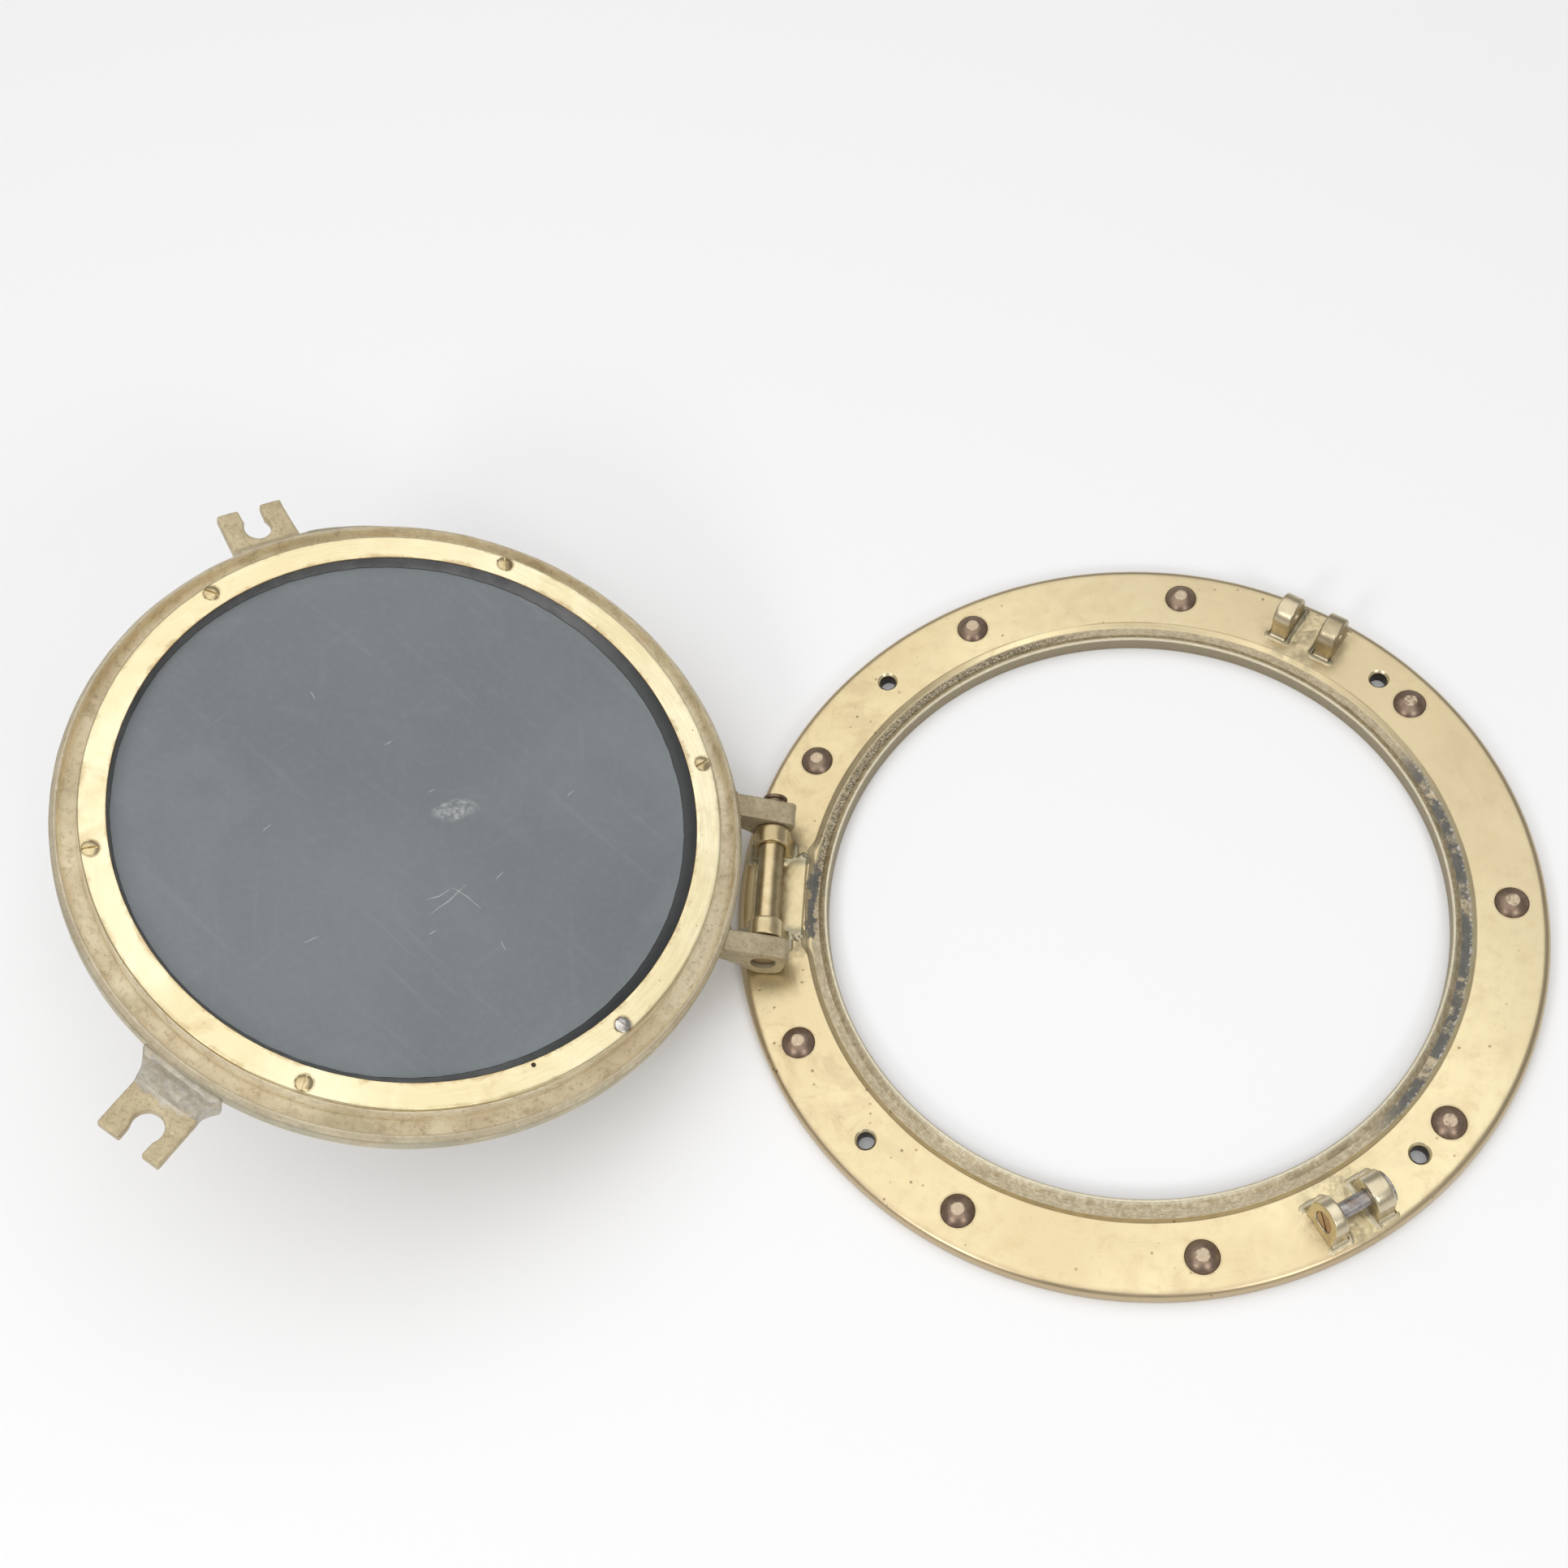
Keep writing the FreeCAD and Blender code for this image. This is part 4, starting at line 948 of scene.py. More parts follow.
def eye_plate(outer, centre, hole_r, t0, t1, edge, n=128, bore_edge=0.35, cbore=None):
    """Plate across Y with an eye: outline in (u, w), hole at centre, eased edges. Returns verts, faces in mm."""
    o = resample(outer, n)
    nxt, prv = np.roll(o, -1, 0), np.roll(o, 1, 0)
    tan = nxt - prv
    tan /= np.linalg.norm(tan, axis=1)[:, None]
    nor = np.c_[tan[:, 1], -tan[:, 0]]
    if ((o - o.mean(0)) * nor).sum() < 0:
        nor = -nor
    c = np.array(centre, float)
    ang = np.arctan2(o[:, 1] - c[1], o[:, 0] - c[0])
    hole = np.c_[np.cos(ang), np.sin(ang)]
    rings = []
    k = 5
    for i in range(k + 1):                      # outer wall, bottom edge up
        a = math.pi / 2 * i / k
        rings.append((o - nor * edge * (1 - math.sin(a)), t0 + edge * (1 - math.cos(a))))
    mid = 6
    for i in range(1, mid):
        rings.append((o, t0 + edge + (t1 - t0 - 2 * edge) * i / mid))
    for i in range(k + 1):
        a = math.pi / 2 * (1 - i / k)
        rings.append((o - nor * edge * (1 - math.sin(a)), t1 - edge * (1 - math.cos(a))))
    face_out = o - nor * edge
    r_top = hole_r + bore_edge
    for f in (0.25, 0.5, 0.75):                 # top face, out to in
        rings.append((face_out * (1 - f) + (c + hole * r_top) * f, t1))
    top_r = cbore[0] if cbore else hole_r
    if cbore:
        rings.append((c + hole * (cbore[0] + 0.3), t1))
        rings.append((c + hole * cbore[0], t1 - 0.3))
        rings.append((c + hole * cbore[0], t1 - cbore[1]))
        rings.append((c + hole * hole_r, t1 - cbore[1]))
    else:
        rings.append((c + hole * (hole_r + bore_edge), t1))
        rings.append((c + hole * hole_r, t1 - bore_edge))
    rings.append((c + hole * hole_r, (t0 + t1) / 2))
    rings.append((c + hole * hole_r, t0 + bore_edge))
    rings.append((c + hole * (hole_r + bore_edge), t0))
    for f in (0.75, 0.5, 0.25):
        rings.append((face_out * (1 - f) + (c + hole * r_top) * f, t0))
    verts, faces = [], []
    for pts, t in rings:
        verts += [(p[0], t, p[1]) for p in pts]
    m = len(rings)
    for i in range(m):
        j = (i + 1) % m
        for s in range(n):
            q = (s + 1) % n
            faces.append((i * n + s, i * n + q, j * n + q, j * n + s))
    return verts, faces


def blobs(name, pts, voxel=0.45, smooth_iter=3, seg=2, extra=()):
    """One smooth closed mesh from overlapping flattened balls: (x, y, z, r, flat) in mm."""
    bm = bmesh.new()
    for x, y, z, r, flat in pts:
        bmesh.ops.create_icosphere(bm, subdivisions=seg, radius=r * MM,
                                   matrix=Matrix.Translation((x * MM, y * MM, z * MM)) @ Matrix.Diagonal((1, 1, flat, 1)))
    for e in extra:
        bm.from_mesh(e)
    me = bpy.data.meshes.new(name)
    bm.to_mesh(me)
    bm.free()
    return remeshed(me, voxel, smooth_iter)


def clip_low(me, z_mm):
    """Flattens what a braze would sink below a face, so it stays just inside the metal."""
    for v in me.vertices:
        if v.co.z < z_mm * MM:
            v.co.z = z_mm * MM
    me.update()


# ------------------------------------------------------------------ mounting ring
ring_pts = [(146.4, 0, 0.4), (190.5, 0, 0.7), (190.5, T, 4.1), (166.0, T, 0.0)] + [(165.5 - 0.5 * k, T, 0.0) for k in range(15)]
ring_pts += [(157.4, T, 0.35), (156.5, T - 0.7, 0.0), (155.7, T - 1.32, 0.0), (154.9, T - 1.95, 0.5),
            (151.0, T - 2.1, 0.9), (148.5, T - 0.35, 0.45), (147.9, T + 0.2, 0.35), (147.0, T + 0.2, 0.35), (146.4, T - 0.5, 0.3)]
v, f = revolve(fill_loop(round_loop(ring_pts, 6), 1.6), 720)
me = mesh_from("base_ring_mesh", v, f)
fix_normals(me)


def ring_wave(c, n):
    r = math.hypot(c[0], c[1])
    d = 0.05 * nz(c, 34.0, 3.0) * sm(n.z, 0.5, 0.9) if c[2] > 1.0 else 0.0
    seat = 1.0 - sm(r, 154.3, 155.2)
    lip = 1.0 - sm(r, 148.4, 149.2)
    if c[2] > 1.5:
        d += seat * (1 - 0.75 * lip) * (0.07 * nz(c, 3.1, 11.0) + 0.05 * nz(c, 1.3, 5.0) + 0.10 * nz(c, 11.0, 8.0))
        d += (1 - seat) * sm(r, 186.0, 189.0) * 0.05 * nz(c, 9.0, 21.0)
        d += 0.012 * nz(c, 4.0, 2.0)
    return d


displace(me, ring_wave)
# the flat is scooped back beside both ends of the bracket
for vtx in me.vertices:
    x, y, z = (q / MM for q in vtx.co)
    if x < -140 and z > T - 3.2:
        r = math.hypot(x, y)
        push = math.exp(-((abs(y) - 24.5) / 4.6) ** 2)
        if r < 157.4:
            w = sm(r, 152.2, 157.4)
        else:
            w = 1.0 - sm(r, 157.4, 166.0)
        dr = 2.7 * push * w
        if dr > 0.01:
            k = (r + dr) / r
            vtx.co.x *= k
            vtx.co.y *= k
me.update()
bm = bmesh.new()
for deg in (45, 135, -45, -135):
    cx, cy = polar(deg, 173.05)
    prof = [(0, -2), (4.0, -2), (4.0, T - 1.25), (4.15, T - 0.95), (5.2, T), (7.0, T + 1.8), (0, T + 1.8)]
    cm = spin_solid("hole_cut", prof, 48)
    cm.transform(Matrix.Translation((cx * MM, cy * MM, 0)))
    bm.from_mesh(cm)
cut = bpy.data.meshes.new("ring_cut")
bm.to_mesh(cut)
bm.free()
me = boolean(me, cut)
place("ring_casting", me, "base", "ring", nodes=("base_ring",), angle=38)

# ------------------------------------------------------------------ rivets
RIV = [25.9, 62.7, 98.9, 141.6, 180.0, -141.6, -98.9, -62.7, -25.9]
bm = bmesh.new()
R0, H0 = 7.9, 4.0
SR = (R0 * R0 + H0 * H0) / (2 * H0)
for i, deg in enumerate(RIV):
    rr = random.Random(100 + i)
    spot = 2.7 * rr.uniform(0.9, 1.12)
    zc = H0 - SR
    top = zc + math.sqrt(SR * SR - spot * spot)
    prof = [(0, 0.0 - T), (2.4, -T), (2.4, -T + 0.8), (2.4, 0.0), (R0 - 0.35, 0.0), (R0 - 0.05, 0.18)]
    a0, a1 = math.atan2(0.35 - zc, math.sqrt(SR ** 2 - (0.35 - zc) ** 2)), math.atan2(top - zc, spot)
    for k in range(17):
        a = a0 + (a1 - a0) * k / 16
        prof.append((SR * math.cos(a), zc + SR * math.sin(a)))
    prof += [(spot * 0.94, top + 0.005), (spot * 0.6, top + 0.02), (spot * 0.3, top + 0.03), (0, top + 0.03)]
    rm = spin_solid("riv", prof, 64)
    seed = 5.0 * i

    def dent(c, n, seed=seed):
        return 0.018 * nz(c, 4.2, seed) + 0.006 * nz(c, 1.8, seed + 3) if c[2] > 0.3 else 0.0
    displace(rm, dent)
    cx, cy = polar(deg, 173.6)
    rm.transform(Matrix.Translation((cx * MM, cy * MM, T * MM)) @ Matrix.Rotation(rr.uniform(0, 6.28), 4, "Z"))
    bm.from_mesh(rm)
me = bpy.data.meshes.new("rivet_mesh")
bm.to_mesh(me)
bm.free()
place("dome_rivet_heads", me, "base", "rivet", nodes=("dome_rivets",), angle=50)

# ------------------------------------------------------------------ hinge bracket
KN_R, KN_IN, KN_OUT = 8.6, 19.8, 29.3
kk = math.sqrt(KN_R ** 2 - 2.6 ** 2)


def knuckle_outline():
    o = []
    a0 = math.atan2(-2.6, kk)
    a1 = math.pi - a0
    for k in range(41):
        a = a0 + (a1 - a0) * k / 40
        o.append((KN_R * math.cos(a), PIN_H + KN_R * math.sin(a)))
    o += [(-kk - 0.5, 4.6)] + arc3((-kk - 0.5, 4.6), (-kk - 1.4, 2.0), (-kk - 3.6, 0.0), 8)
    o += [(kk + 2.9, 0.0)] + arc3((kk + 2.9, 0.0), (kk + 1.2, 1.8), (kk + 0.4, 4.6), 8)
    return o


parts = []
for y0, y1 in ((KN_IN, KN_OUT), (-KN_OUT, -KN_IN)):
    v, f = eye_plate(knuckle_outline(), (0, PIN_H), 5.0, y0, y1, 1.3)
    km = mesh_from("kn", v, f)
    fix_normals(km)
    km.transform(Matrix.Translation((PIN_X * MM, 0, T * MM)))
    parts.append(km)
pad = round_loop([(-183.6, -0.3, 0.2), (-157.5, -0.3, 0.2), (-157.7, 1.5, 0.7), (-183.3, 1.5, 0.7)], 4)
pad = resample(pad, 48)
ny = 40
pv, pf = [], []
for j in range(ny + 1):
    y = -KN_IN - 1.0 + (2 * KN_IN + 2.0) * j / ny
    pv += [(p[0], y, p[1] + T) for p in pad]
for j in range(ny):
    for i in range(48):
        k = (i + 1) % 48
        pf.append((j * 48 + i, j * 48 + k, (j + 1) * 48 + k, (j + 1) * 48 + i))
pf += [tuple(range(48)), tuple(ny * 48 + i for i in range(48))]
pm = mesh_from("pad", pv, pf)
fix_normals(pm)
parts.append(pm)
rng = random.Random(12)
pts = []
for s in (1, -1):
    # broad low fillets at the foot of each knuckle, inner side and both ends
    for k in range(20):
        x = PIN_X - 11.5 + 21.5 * k / 19
        pts.append((x, s * (KN_IN - rng.uniform(0.6, 1.4)), T + 1.0 - 1.7 * abs(2.0 * k / 19 - 1.0) ** 3, rng.uniform(2.6, 3.2), 0.50))
    for k in range(9):
        y = s * (KN_IN - 1.0 + (KN_OUT - KN_IN - 1.2) * k / 8)
        pts.append((PIN_X + kk + 1.3 + rng.uniform(-.2, .3), y, T - 0.1, rng.uniform(2.1, 2.5), 0.62))
        pts.append((PIN_X - kk - 2.2 + rng.uniform(-.3, .3), y, T - 0.1, rng.uniform(2.2, 2.8), 0.62))
for s in (1, -1):
    # braze lumps that run from the knuckle's foot down over the bevel
    for x, y, z, r in ((-159.9, 19.2, -0.2, 2.3), (-158.6, 20.6, -0.7, 2.2), (-159.6, 22.4, -0.6, 2.2), (-161.0, 21.0, 0.2, 2.4), (-157.9, 18.6, -0.6, 1.7)):
        pts.append((x, s * y, T + z, r, 0.62))
me = blobs("bracket_mesh", pts, 0.32, 10, extra=parts)
for vtx in me.vertices:
    if vtx.co.z < (T - 0.25) * MM and math.hypot(vtx.co.x, vtx.co.y) > 161.5 * MM:
        vtx.co.z = (T - 0.25) * MM
    if abs(vtx.co.y) > KN_OUT * MM:
        vtx.co.y = math.copysign(KN_OUT * MM, vtx.co.y)
displace(me, lambda c, n: (0.07 * nz(c, 6.0, 4.0) + 0.03 * nz(c, 2.2, 9.0)) * (1 - abs(n.y) * (abs(c[1]) > KN_OUT - 0.4)) if c[2] > T + 0.3 else 0.0)
bore = spin_solid("bore", [(0, -40), (6.02, -40), (6.02, 0), (6.02, 40), (0, 40)], 72)
bore.transform(Matrix.Translation(HP) @ Matrix.Rotation(math.radians(-90), 4, "X"))
me = boolean(me, bore)
place("bracket_casting", me, "base", "bracket", nodes=("hinge_bracket",), angle=42)

# hinge pin: rubbed bright between the knuckles, brown where it shows outside the ears
EAR_IN, EAR_OUT = 29.7, 41.3
PIN_R, PIN_END, EAR_BORE = 6.0, 47.0, 6.08
y_lo, y_nk = -(EAR_OUT - 1.6), EAR_OUT + 0.7
prof = [(0, y_lo), (5.0, y_lo), (5.45, y_lo + 0.12), (5.85, y_lo + 0.5), (PIN_R, y_lo + 1.0)]
for k in range(1, 40):
    prof.append((PIN_R, y_lo + 1.0 + (y_nk - 0.15 - y_lo - 1.0) * k / 39.0))
prof += [(PIN_R - 0.15, y_nk), (5.2, y_nk + 0.25), (5.0, y_nk + 0.6), (4.95, y_nk + 1.6), (5.05, PIN_END - 2.2), (5.3, PIN_END - 1.95),
         (PIN_R - 0.2, PIN_END - 1.9), (PIN_R, PIN_END - 1.7), (PIN_R, PIN_END - 1.1), (PIN_R, PIN_END - 0.55)]
for k in range(1, 7):
    a = math.pi / 2 * k / 6
    prof.append((PIN_R - 0.55 + 0.55 * math.cos(a), PIN_END - 0.55 + 0.55 * math.sin(a)))
prof += [(2.6, PIN_END), (0, PIN_END)]
me = spin_solid("pin_mesh", prof, 96)
me.transform(Matrix.Translation(HP) @ Matrix.Rotation(math.radians(-90), 4, "X"))
me.update()
place("hinge_pin_turned", me, "base", "pin", nodes=("hinge_pin",), angle=50)
ob = bpy.data.objects["hinge_pin_turned"]
ob.data.materials.append(MAT["pin_end"])
for p in ob.data.polygons:
    if abs(p.center.y) > (KN_OUT - 0.5) * MM:
        p.material_index = 1

# ------------------------------------------------------------------ dog bolt lugs
lk = math.sqrt(9.0 ** 2 - 1.5 ** 2)


def lug_outline():
    o = []
    a0 = math.atan2(-1.5, lk)
    a1 = math.pi - a0
    for k in range(45):
        a = a0 + (a1 - a0) * k / 44
        o.append((9.0 * math.cos(a), LUG_H + 9.0 * math.sin(a)))
    o += [(-lk - 0.5, 4.0)] + arc3((-lk - 0.5, 4.0), (-lk - 1.2, 1.6), (-lk - 3.0, 0.0), 8)
    o += [(lk + 2.6, 0.0)] + arc3((lk + 2.6, 0.0), (lk + 1.1, 1.6), (lk + 0.5, 4.0), 8)
    return o


def lug_matrix(deg):
    a = math.radians(180.0 - deg)
    return Matrix.Rotation(a, 4, "Z") @ Matrix.Translation((LUG_PCR * MM, 0, T * MM))


for tag, deg in (("far", LUG_FAR), ("near", LUG_NEAR)):
    for ab, side in (("a", 1), ("b", -1)):
        t0 = LUG_GAP / 2 if side > 0 else -LUG_GAP / 2 - LUG_T
        name = "dog_lug_%s_%s" % (tag, ab)
        if tag == "near" and ab == "b":
            v, f = eye_plate(lug_outline(), (0, LUG_H), 3.75, -(t0 + LUG_T), -t0, 1.0, cbore=(5.7, 2.6))
            v = [(p[0], -p[1], p[2]) for p in v]
        else:
            v, f = eye_plate(lug_outline(), (0, LUG_H), 3.75, t0, t0 + LUG_T, 1.0)
        me = mesh_from(name + "_m", v, f)
        fix_normals(me)
        sd = {"far_a": 1.0, "far_b": 2.3, "near_a": 3.1, "near_b": 4.7}[tag + "_" + ab]
        displace(me, lambda c, n, sd=sd: 0.12 * nz(c, 6.5, sd) + 0.02 * nz(c, 2.6, sd + 5))
        if tag == "near" and ab == "b":
            lean(me)
        me.transform(lug_matrix(deg))
        place(name + "_cast", me, "base", "lug" if tag == "near" else "lug_far", nodes=(name,), angle=55)

# slotted pin left in the near pair
t_end = -LUG_GAP / 2 - LUG_T
prof = [(0, t_end + 0.25), (3.2, t_end + 0.28), (4.9, t_end + 0.42), (5.4, t_end + 0.85), (5.4, t_end + 2.4), (5.3, t_end + 2.58),
        (3.75, t_end + 2.6)]
for k in range(1, 24):
    prof.append((3.75, t_end + 2.6 + (-2 * t_end - 2.6) * k / 24.0))
prof += [(3.75, -t_end), (7.1, -t_end), (7.4, -t_end + 0.25), (7.4, -t_end + 0.9), (7.1, -t_end + 1.3), (6.5, -t_end + 1.5),
         (3.0, -t_end + 1.55), (0, -t_end + 1.55)]
me = spin_solid("dogpin", prof, 56)
me.transform(Matrix.Translation((0, 0, LUG_H * MM)) @ Matrix.Rotation(math.radians(-90), 4, "X"))
slot_v = [(-7, t_end - 1, -0.45), (7, t_end - 1, -0.45), (7, t_end + 1.6, -0.45), (-7, t_end + 1.6, -0.45),
          (-7, t_end - 1, 0.45), (7, t_end - 1, 0.45), (7, t_end + 1.6, 0.45), (-7, t_end + 1.6, 0.45)]
bx = [(0, 3, 2, 1), (4, 5, 6, 7), (0, 1, 5, 4), (1, 2, 6, 5), (2, 3, 7, 6), (3, 0, 4, 7)]
sl = mesh_from("slotcut", slot_v, bx)
sl.transform(Matrix.Translation((0, 0, LUG_H * MM)) @ Matrix.Rotation(math.radians(43), 4, "Y"))
me = boolean(me, sl)
displace(me, lambda c, n: 0.03 * nz(c, 2.0, 6.0))
head_faces = [p.index for p in me.polygons if p.center.y < (t_end + 2.7) * MM]
lean(me)
me.transform(lug_matrix(LUG_NEAR))
ob = place("dog_pin_steel", me, "base", "steel", nodes=("dog_pin",), angle=35)
ob.data.materials.append(MAT["pin_head"])
for i in head_faces:
    ob.data.polygons[i].material_index = 1

# ------------------------------------------------------------------ braze round the lugs
for tag, deg in (("far", LUG_FAR), ("near", LUG_NEAR)):
    seed = 31.0 if tag == "far" else 47.0
    pts = []

    def fil(x, y, r, flat, z=T - 0.15, seed=seed):
        pts.append((x, y, z, r * (1 + 0.16 * nz((x, y, 0), 4.0, seed)), flat * (1 + 0.15 * nz((x, y, 5), 5.0, seed))))

    for side in (1, -1):
        t0 = LUG_GAP / 2 if side > 0 else -LUG_GAP / 2 - LUG_T
        x0, x1 = -lk - 3.0, lk + 2.6
        yi, yo = (t0, t0 + LUG_T) if side > 0 else (t0 + LUG_T, t0)
        for k in range(36):
            x = x0 + 0.8 + (x1 - x0 - 1.6) * k / 35
            end = abs(2.0 * k / 35 - 1.0)
            # wide on the side of the gap, narrow on the outside
            fil(x, yi - side * 0.1, 2.3, 0.42)
            fil(x, yo - side * 1.3, 1.5, 0.34)
        for k in range(14):
            y = t0 + LUG_T * k / 13
            fil(x0 + 1.4, y, 2.9, 0.30)
            fil(x1 - 0.9, y, 2.2, 0.34)
    # thin pool between the lugs
    for i in range(18):
        for j in range(13):
            x = -lk - 1.2 + (2 * lk + 0.2) * i / 17
            y = -LUG_GAP / 2 + LUG_GAP * j / 12
            fil(x, y, 2.6, 0.20, T - 0.30 + 0.18 * nz((x, y, 2), 3.2, seed))
    me = blobs("braze_%s_m" % tag, pts, 0.36, 14)
    clip_low(me, T - 0.4)
    displace(me, lambda c, n: 0.08 + 0.08 * nz(c, 3.4, 2.0))
    for vtx in me.vertices:
        vtx.co.z -= 0.34 * (1 - sm(vtx.co.z / MM, T, T + 1.1)) * MM
    a = math.radians(180.0 - deg)
    me.transform(Matrix.Rotation(a, 4, "Z") @ Matrix.Translation((LUG_PCR * MM, 0, 0)))
    place("braze_lugs_" + tag, me, "base", "braze" if tag == "near" else "braze_far")

# ------------------------------------------------------------------ window frame (shut)
fp = [(155.3, -0.1, 0.35), (156.6, 1.9, 0.0), (157.5, 3.5, 0.7), (157.5, 8.4, 0.0)]
fp += [(p[0], p[1], 0.0) for p in arc3((157.5, 8.4), (156.6, 11.9), (153.4, 14.2), 8)]
fp += [(150.6, 15.0, 1.2), (147.2, 15.0, 0.8)]
fp += [(p[0], p[1], 0.0) for p in arc3((147.2, 15.0), (142.6, 10.4), (136.6, 8.0), 10)]
fp += [(126.7, 6.9, 0.6), (125.5, 6.2, 0.4), (125.5, 3.6, 0.2), (136.9, 3.6, 0.2), (136.9, SEAT_Z, 0.2), (145.5, SEAT_Z, 0.5),
       (145.8, CHAN_Z - 1.0, 0.0), (146.8, CHAN_Z, 0.8), (154.0, CHAN_Z, 3.0), (153.95, 0.7, 0.4), (154.1, -0.1, 0.3)]
fp = [(r, z + T, q) for r, z, q in fp]
v, f = revolve(fill_loop(round_loop(fp, 5), 1.4), 720)
me = mesh_from("frame_mesh", v, f)
fix_normals(me)


def frame_wave(c, n):
    r = math.hypot(c[0], c[1])
    z = c[2] - T
    if r < 138 and z < 6:
        return 0.0
    front = sm(z, 8.8, 10.0)
    d = (1 - front) * (0.15 * nz(c, 13.0, 2.0) + 0.07 * nz(c, 3.4, 6.0) + 0.03 * nz(c, 1.5, 9.0))
    d += front * 0.05 * nz(c, 25.0, 4.0)
    if r > 156.0 and 1.8 < z < 9.5:
        # the flange's corner beside the nick stands out
        g = math.degrees(math.atan2(c[1], c[0]))
        if 60.0 < g < 84.0:
            d += 1.3 * sm(g, 62.2, 63.2) * (1 - sm(g, 64.5, 80.0)) * sm(z, 1.8, 3.2) * (1 - sm(z, 7.5, 9.5))
    if z < 1.5 and r > 153.5:
        d += 0.10 * nz(c, 5.0, 14.0) + 0.06 * nz(c, 2.2, 17.0) - 0.04
    return d


displace(me, frame_wave)
npts = [(154.9, -1.4), (157.5, -3.0), (161.0, -3.6), (161.0, 4.2), (157.5, 1.2)]
nick = mesh_from("nick", [(x, y, z) for z in (T - 3, T + 12.6) for x, y in npts],
                 [(4, 3, 2, 1, 0), (5, 6, 7, 8, 9)] + [(i, (i + 1) % 5, 5 + (i + 1) % 5, 5 + i) for i in range(5)])
nick.transform(Matrix.Rotation(math.radians(180.0 - 117.7), 4, "Z"))
me = boolean(me, nick)
place("window_casting", me, "window", "cast", shut=True, nodes=("window_frame",), angle=42)

# ------------------------------------------------------------------ retaining ring and screws
rp = [(133.0, SEAT_Z, 0.2), (145.4, SEAT_Z, 0.3), (145.4, FACE_Z, 1.5), (133.0, FACE_Z, 0.6)]
rp = [(r, z + T, q) for r, z, q in rp]
v, f = revolve(fill_loop(round_loop(rp, 6), 1.1), 720)
me = mesh_from("ret_mesh", v, f)
fix_normals(me)


def ret_wave(c, n):
    r = math.hypot(c[0], c[1])
    a = math.atan2(c[1], c[0])
    d = 0.035 * nz(c, 22.0, 1.0) + 0.02 * nz(c, 6.0, 3.0)
    if r < 133.6:
        d += 0.10 * nz(c, 2.6, 9.0) + 0.08 * nz(c, 7.0, 4.0)
    if r > 144.8:
        d += 0.02 * nz(c, 7.0, 12.0)
    return d


displace(me, ret_wave)
bm = bmesh.new()
SC = []
for i in range(6):
    a = math.radians(40.0 + 60.0 * i)
    SC.append((140.8 * math.cos(a), 140.8 * math.sin(a)))
    cm = spin_solid("c", [(0, T + FACE_Z - 1.2), (5.5, T + FACE_Z - 1.2), (3.76, T + FACE_Z), (1.75, T + FACE_Z + 1.6), (1.75, T + SEAT_Z + 1), (0, T + SEAT_Z + 1)], 40)
    cm.transform(Matrix.Translation((SC[-1][0] * MM, SC[-1][1] * MM, 0)))
    bm.from_mesh(cm)
sx, sy = polar(-58.6, 135.4)
cm = spin_solid("c", [(0, T + FACE_Z - 1.0), (1.35, T + FACE_Z - 1.0), (1.05, T + FACE_Z + 0.25), (1.0, T + SEAT_Z + 1), (0, T + SEAT_Z + 1)], 24)
cm.transform(Matrix.Translation((sx * MM, sy * MM, 0)))
bm.from_mesh(cm)
cut = bpy.data.meshes.new("ret_cut")
bm.to_mesh(cut)
bm.free()
me = boolean(me, cut)
place("retaining_ring_bright", me, "window", "bright", shut=True, nodes=("retaining_ring",), angle=40)

TURN = [12, 75, 140, 33, 98, 160]
WORN = 3                  # one head is worn silvery
bm = bmesh.new()
for i, (cx, cy) in enumerate(SC):
    z0 = T + FACE_Z
    prof = [(0, z0 - 0.82)]
    for k in range(1, 10):
        r = 3.5 * k / 9
        prof.append((r, z0 - 0.82 + 0.80 * (r / 3.5) ** 2.2))
    prof += [(3.62, z0 + 0.06), (3.56, z0 + 0.2), (1.6, z0 + 1.62), (1.6, z0 + 6.0), (1.4, z0 + 8.5), (0, z0 + 8.8)]
    sm_me = spin_solid("scr", prof, 56)
    w = 0.48
    sv = [(-5, -w, z0 - 2), (5, -w, z0 - 2), (5, w, z0 - 2), (-5, w, z0 - 2), (-5, -w, z0 + 0.45), (5, -w, z0 + 0.45), (5, w, z0 + 0.45), (-5, w, z0 + 0.45)]
    cutm = mesh_from("slt", sv, [(0, 3, 2, 1), (4, 5, 6, 7), (0, 1, 5, 4), (1, 2, 6, 5), (2, 3, 7, 6), (3, 0, 4, 7)])
    cutm.transform(Matrix.Rotation(math.radians(TURN[i]), 4, "Z"))
    sm_me = boolean(sm_me, cutm)
    displace(sm_me, lambda c, n, i=i: 0.03 * nz(c, 1.3, 3.0 * i))
    sm_me.transform(Matrix.Translation((cx * MM, cy * MM, 0)))
    bm.from_mesh(sm_me)
me = bpy.data.meshes.new("screw_mesh")
bm.to_mesh(me)
bm.free()
ob = place("slotted_screws", me, "window", "screw", shut=True, nodes=("retaining_screws",), angle=35)
ob.data.materials.append(MAT["screw_grey"])
for p in ob.data.polygons:
    if math.hypot(p.center.x / MM - SC[WORN][0], p.center.y / MM - SC[WORN][1]) < 6:
        p.material_index = 1
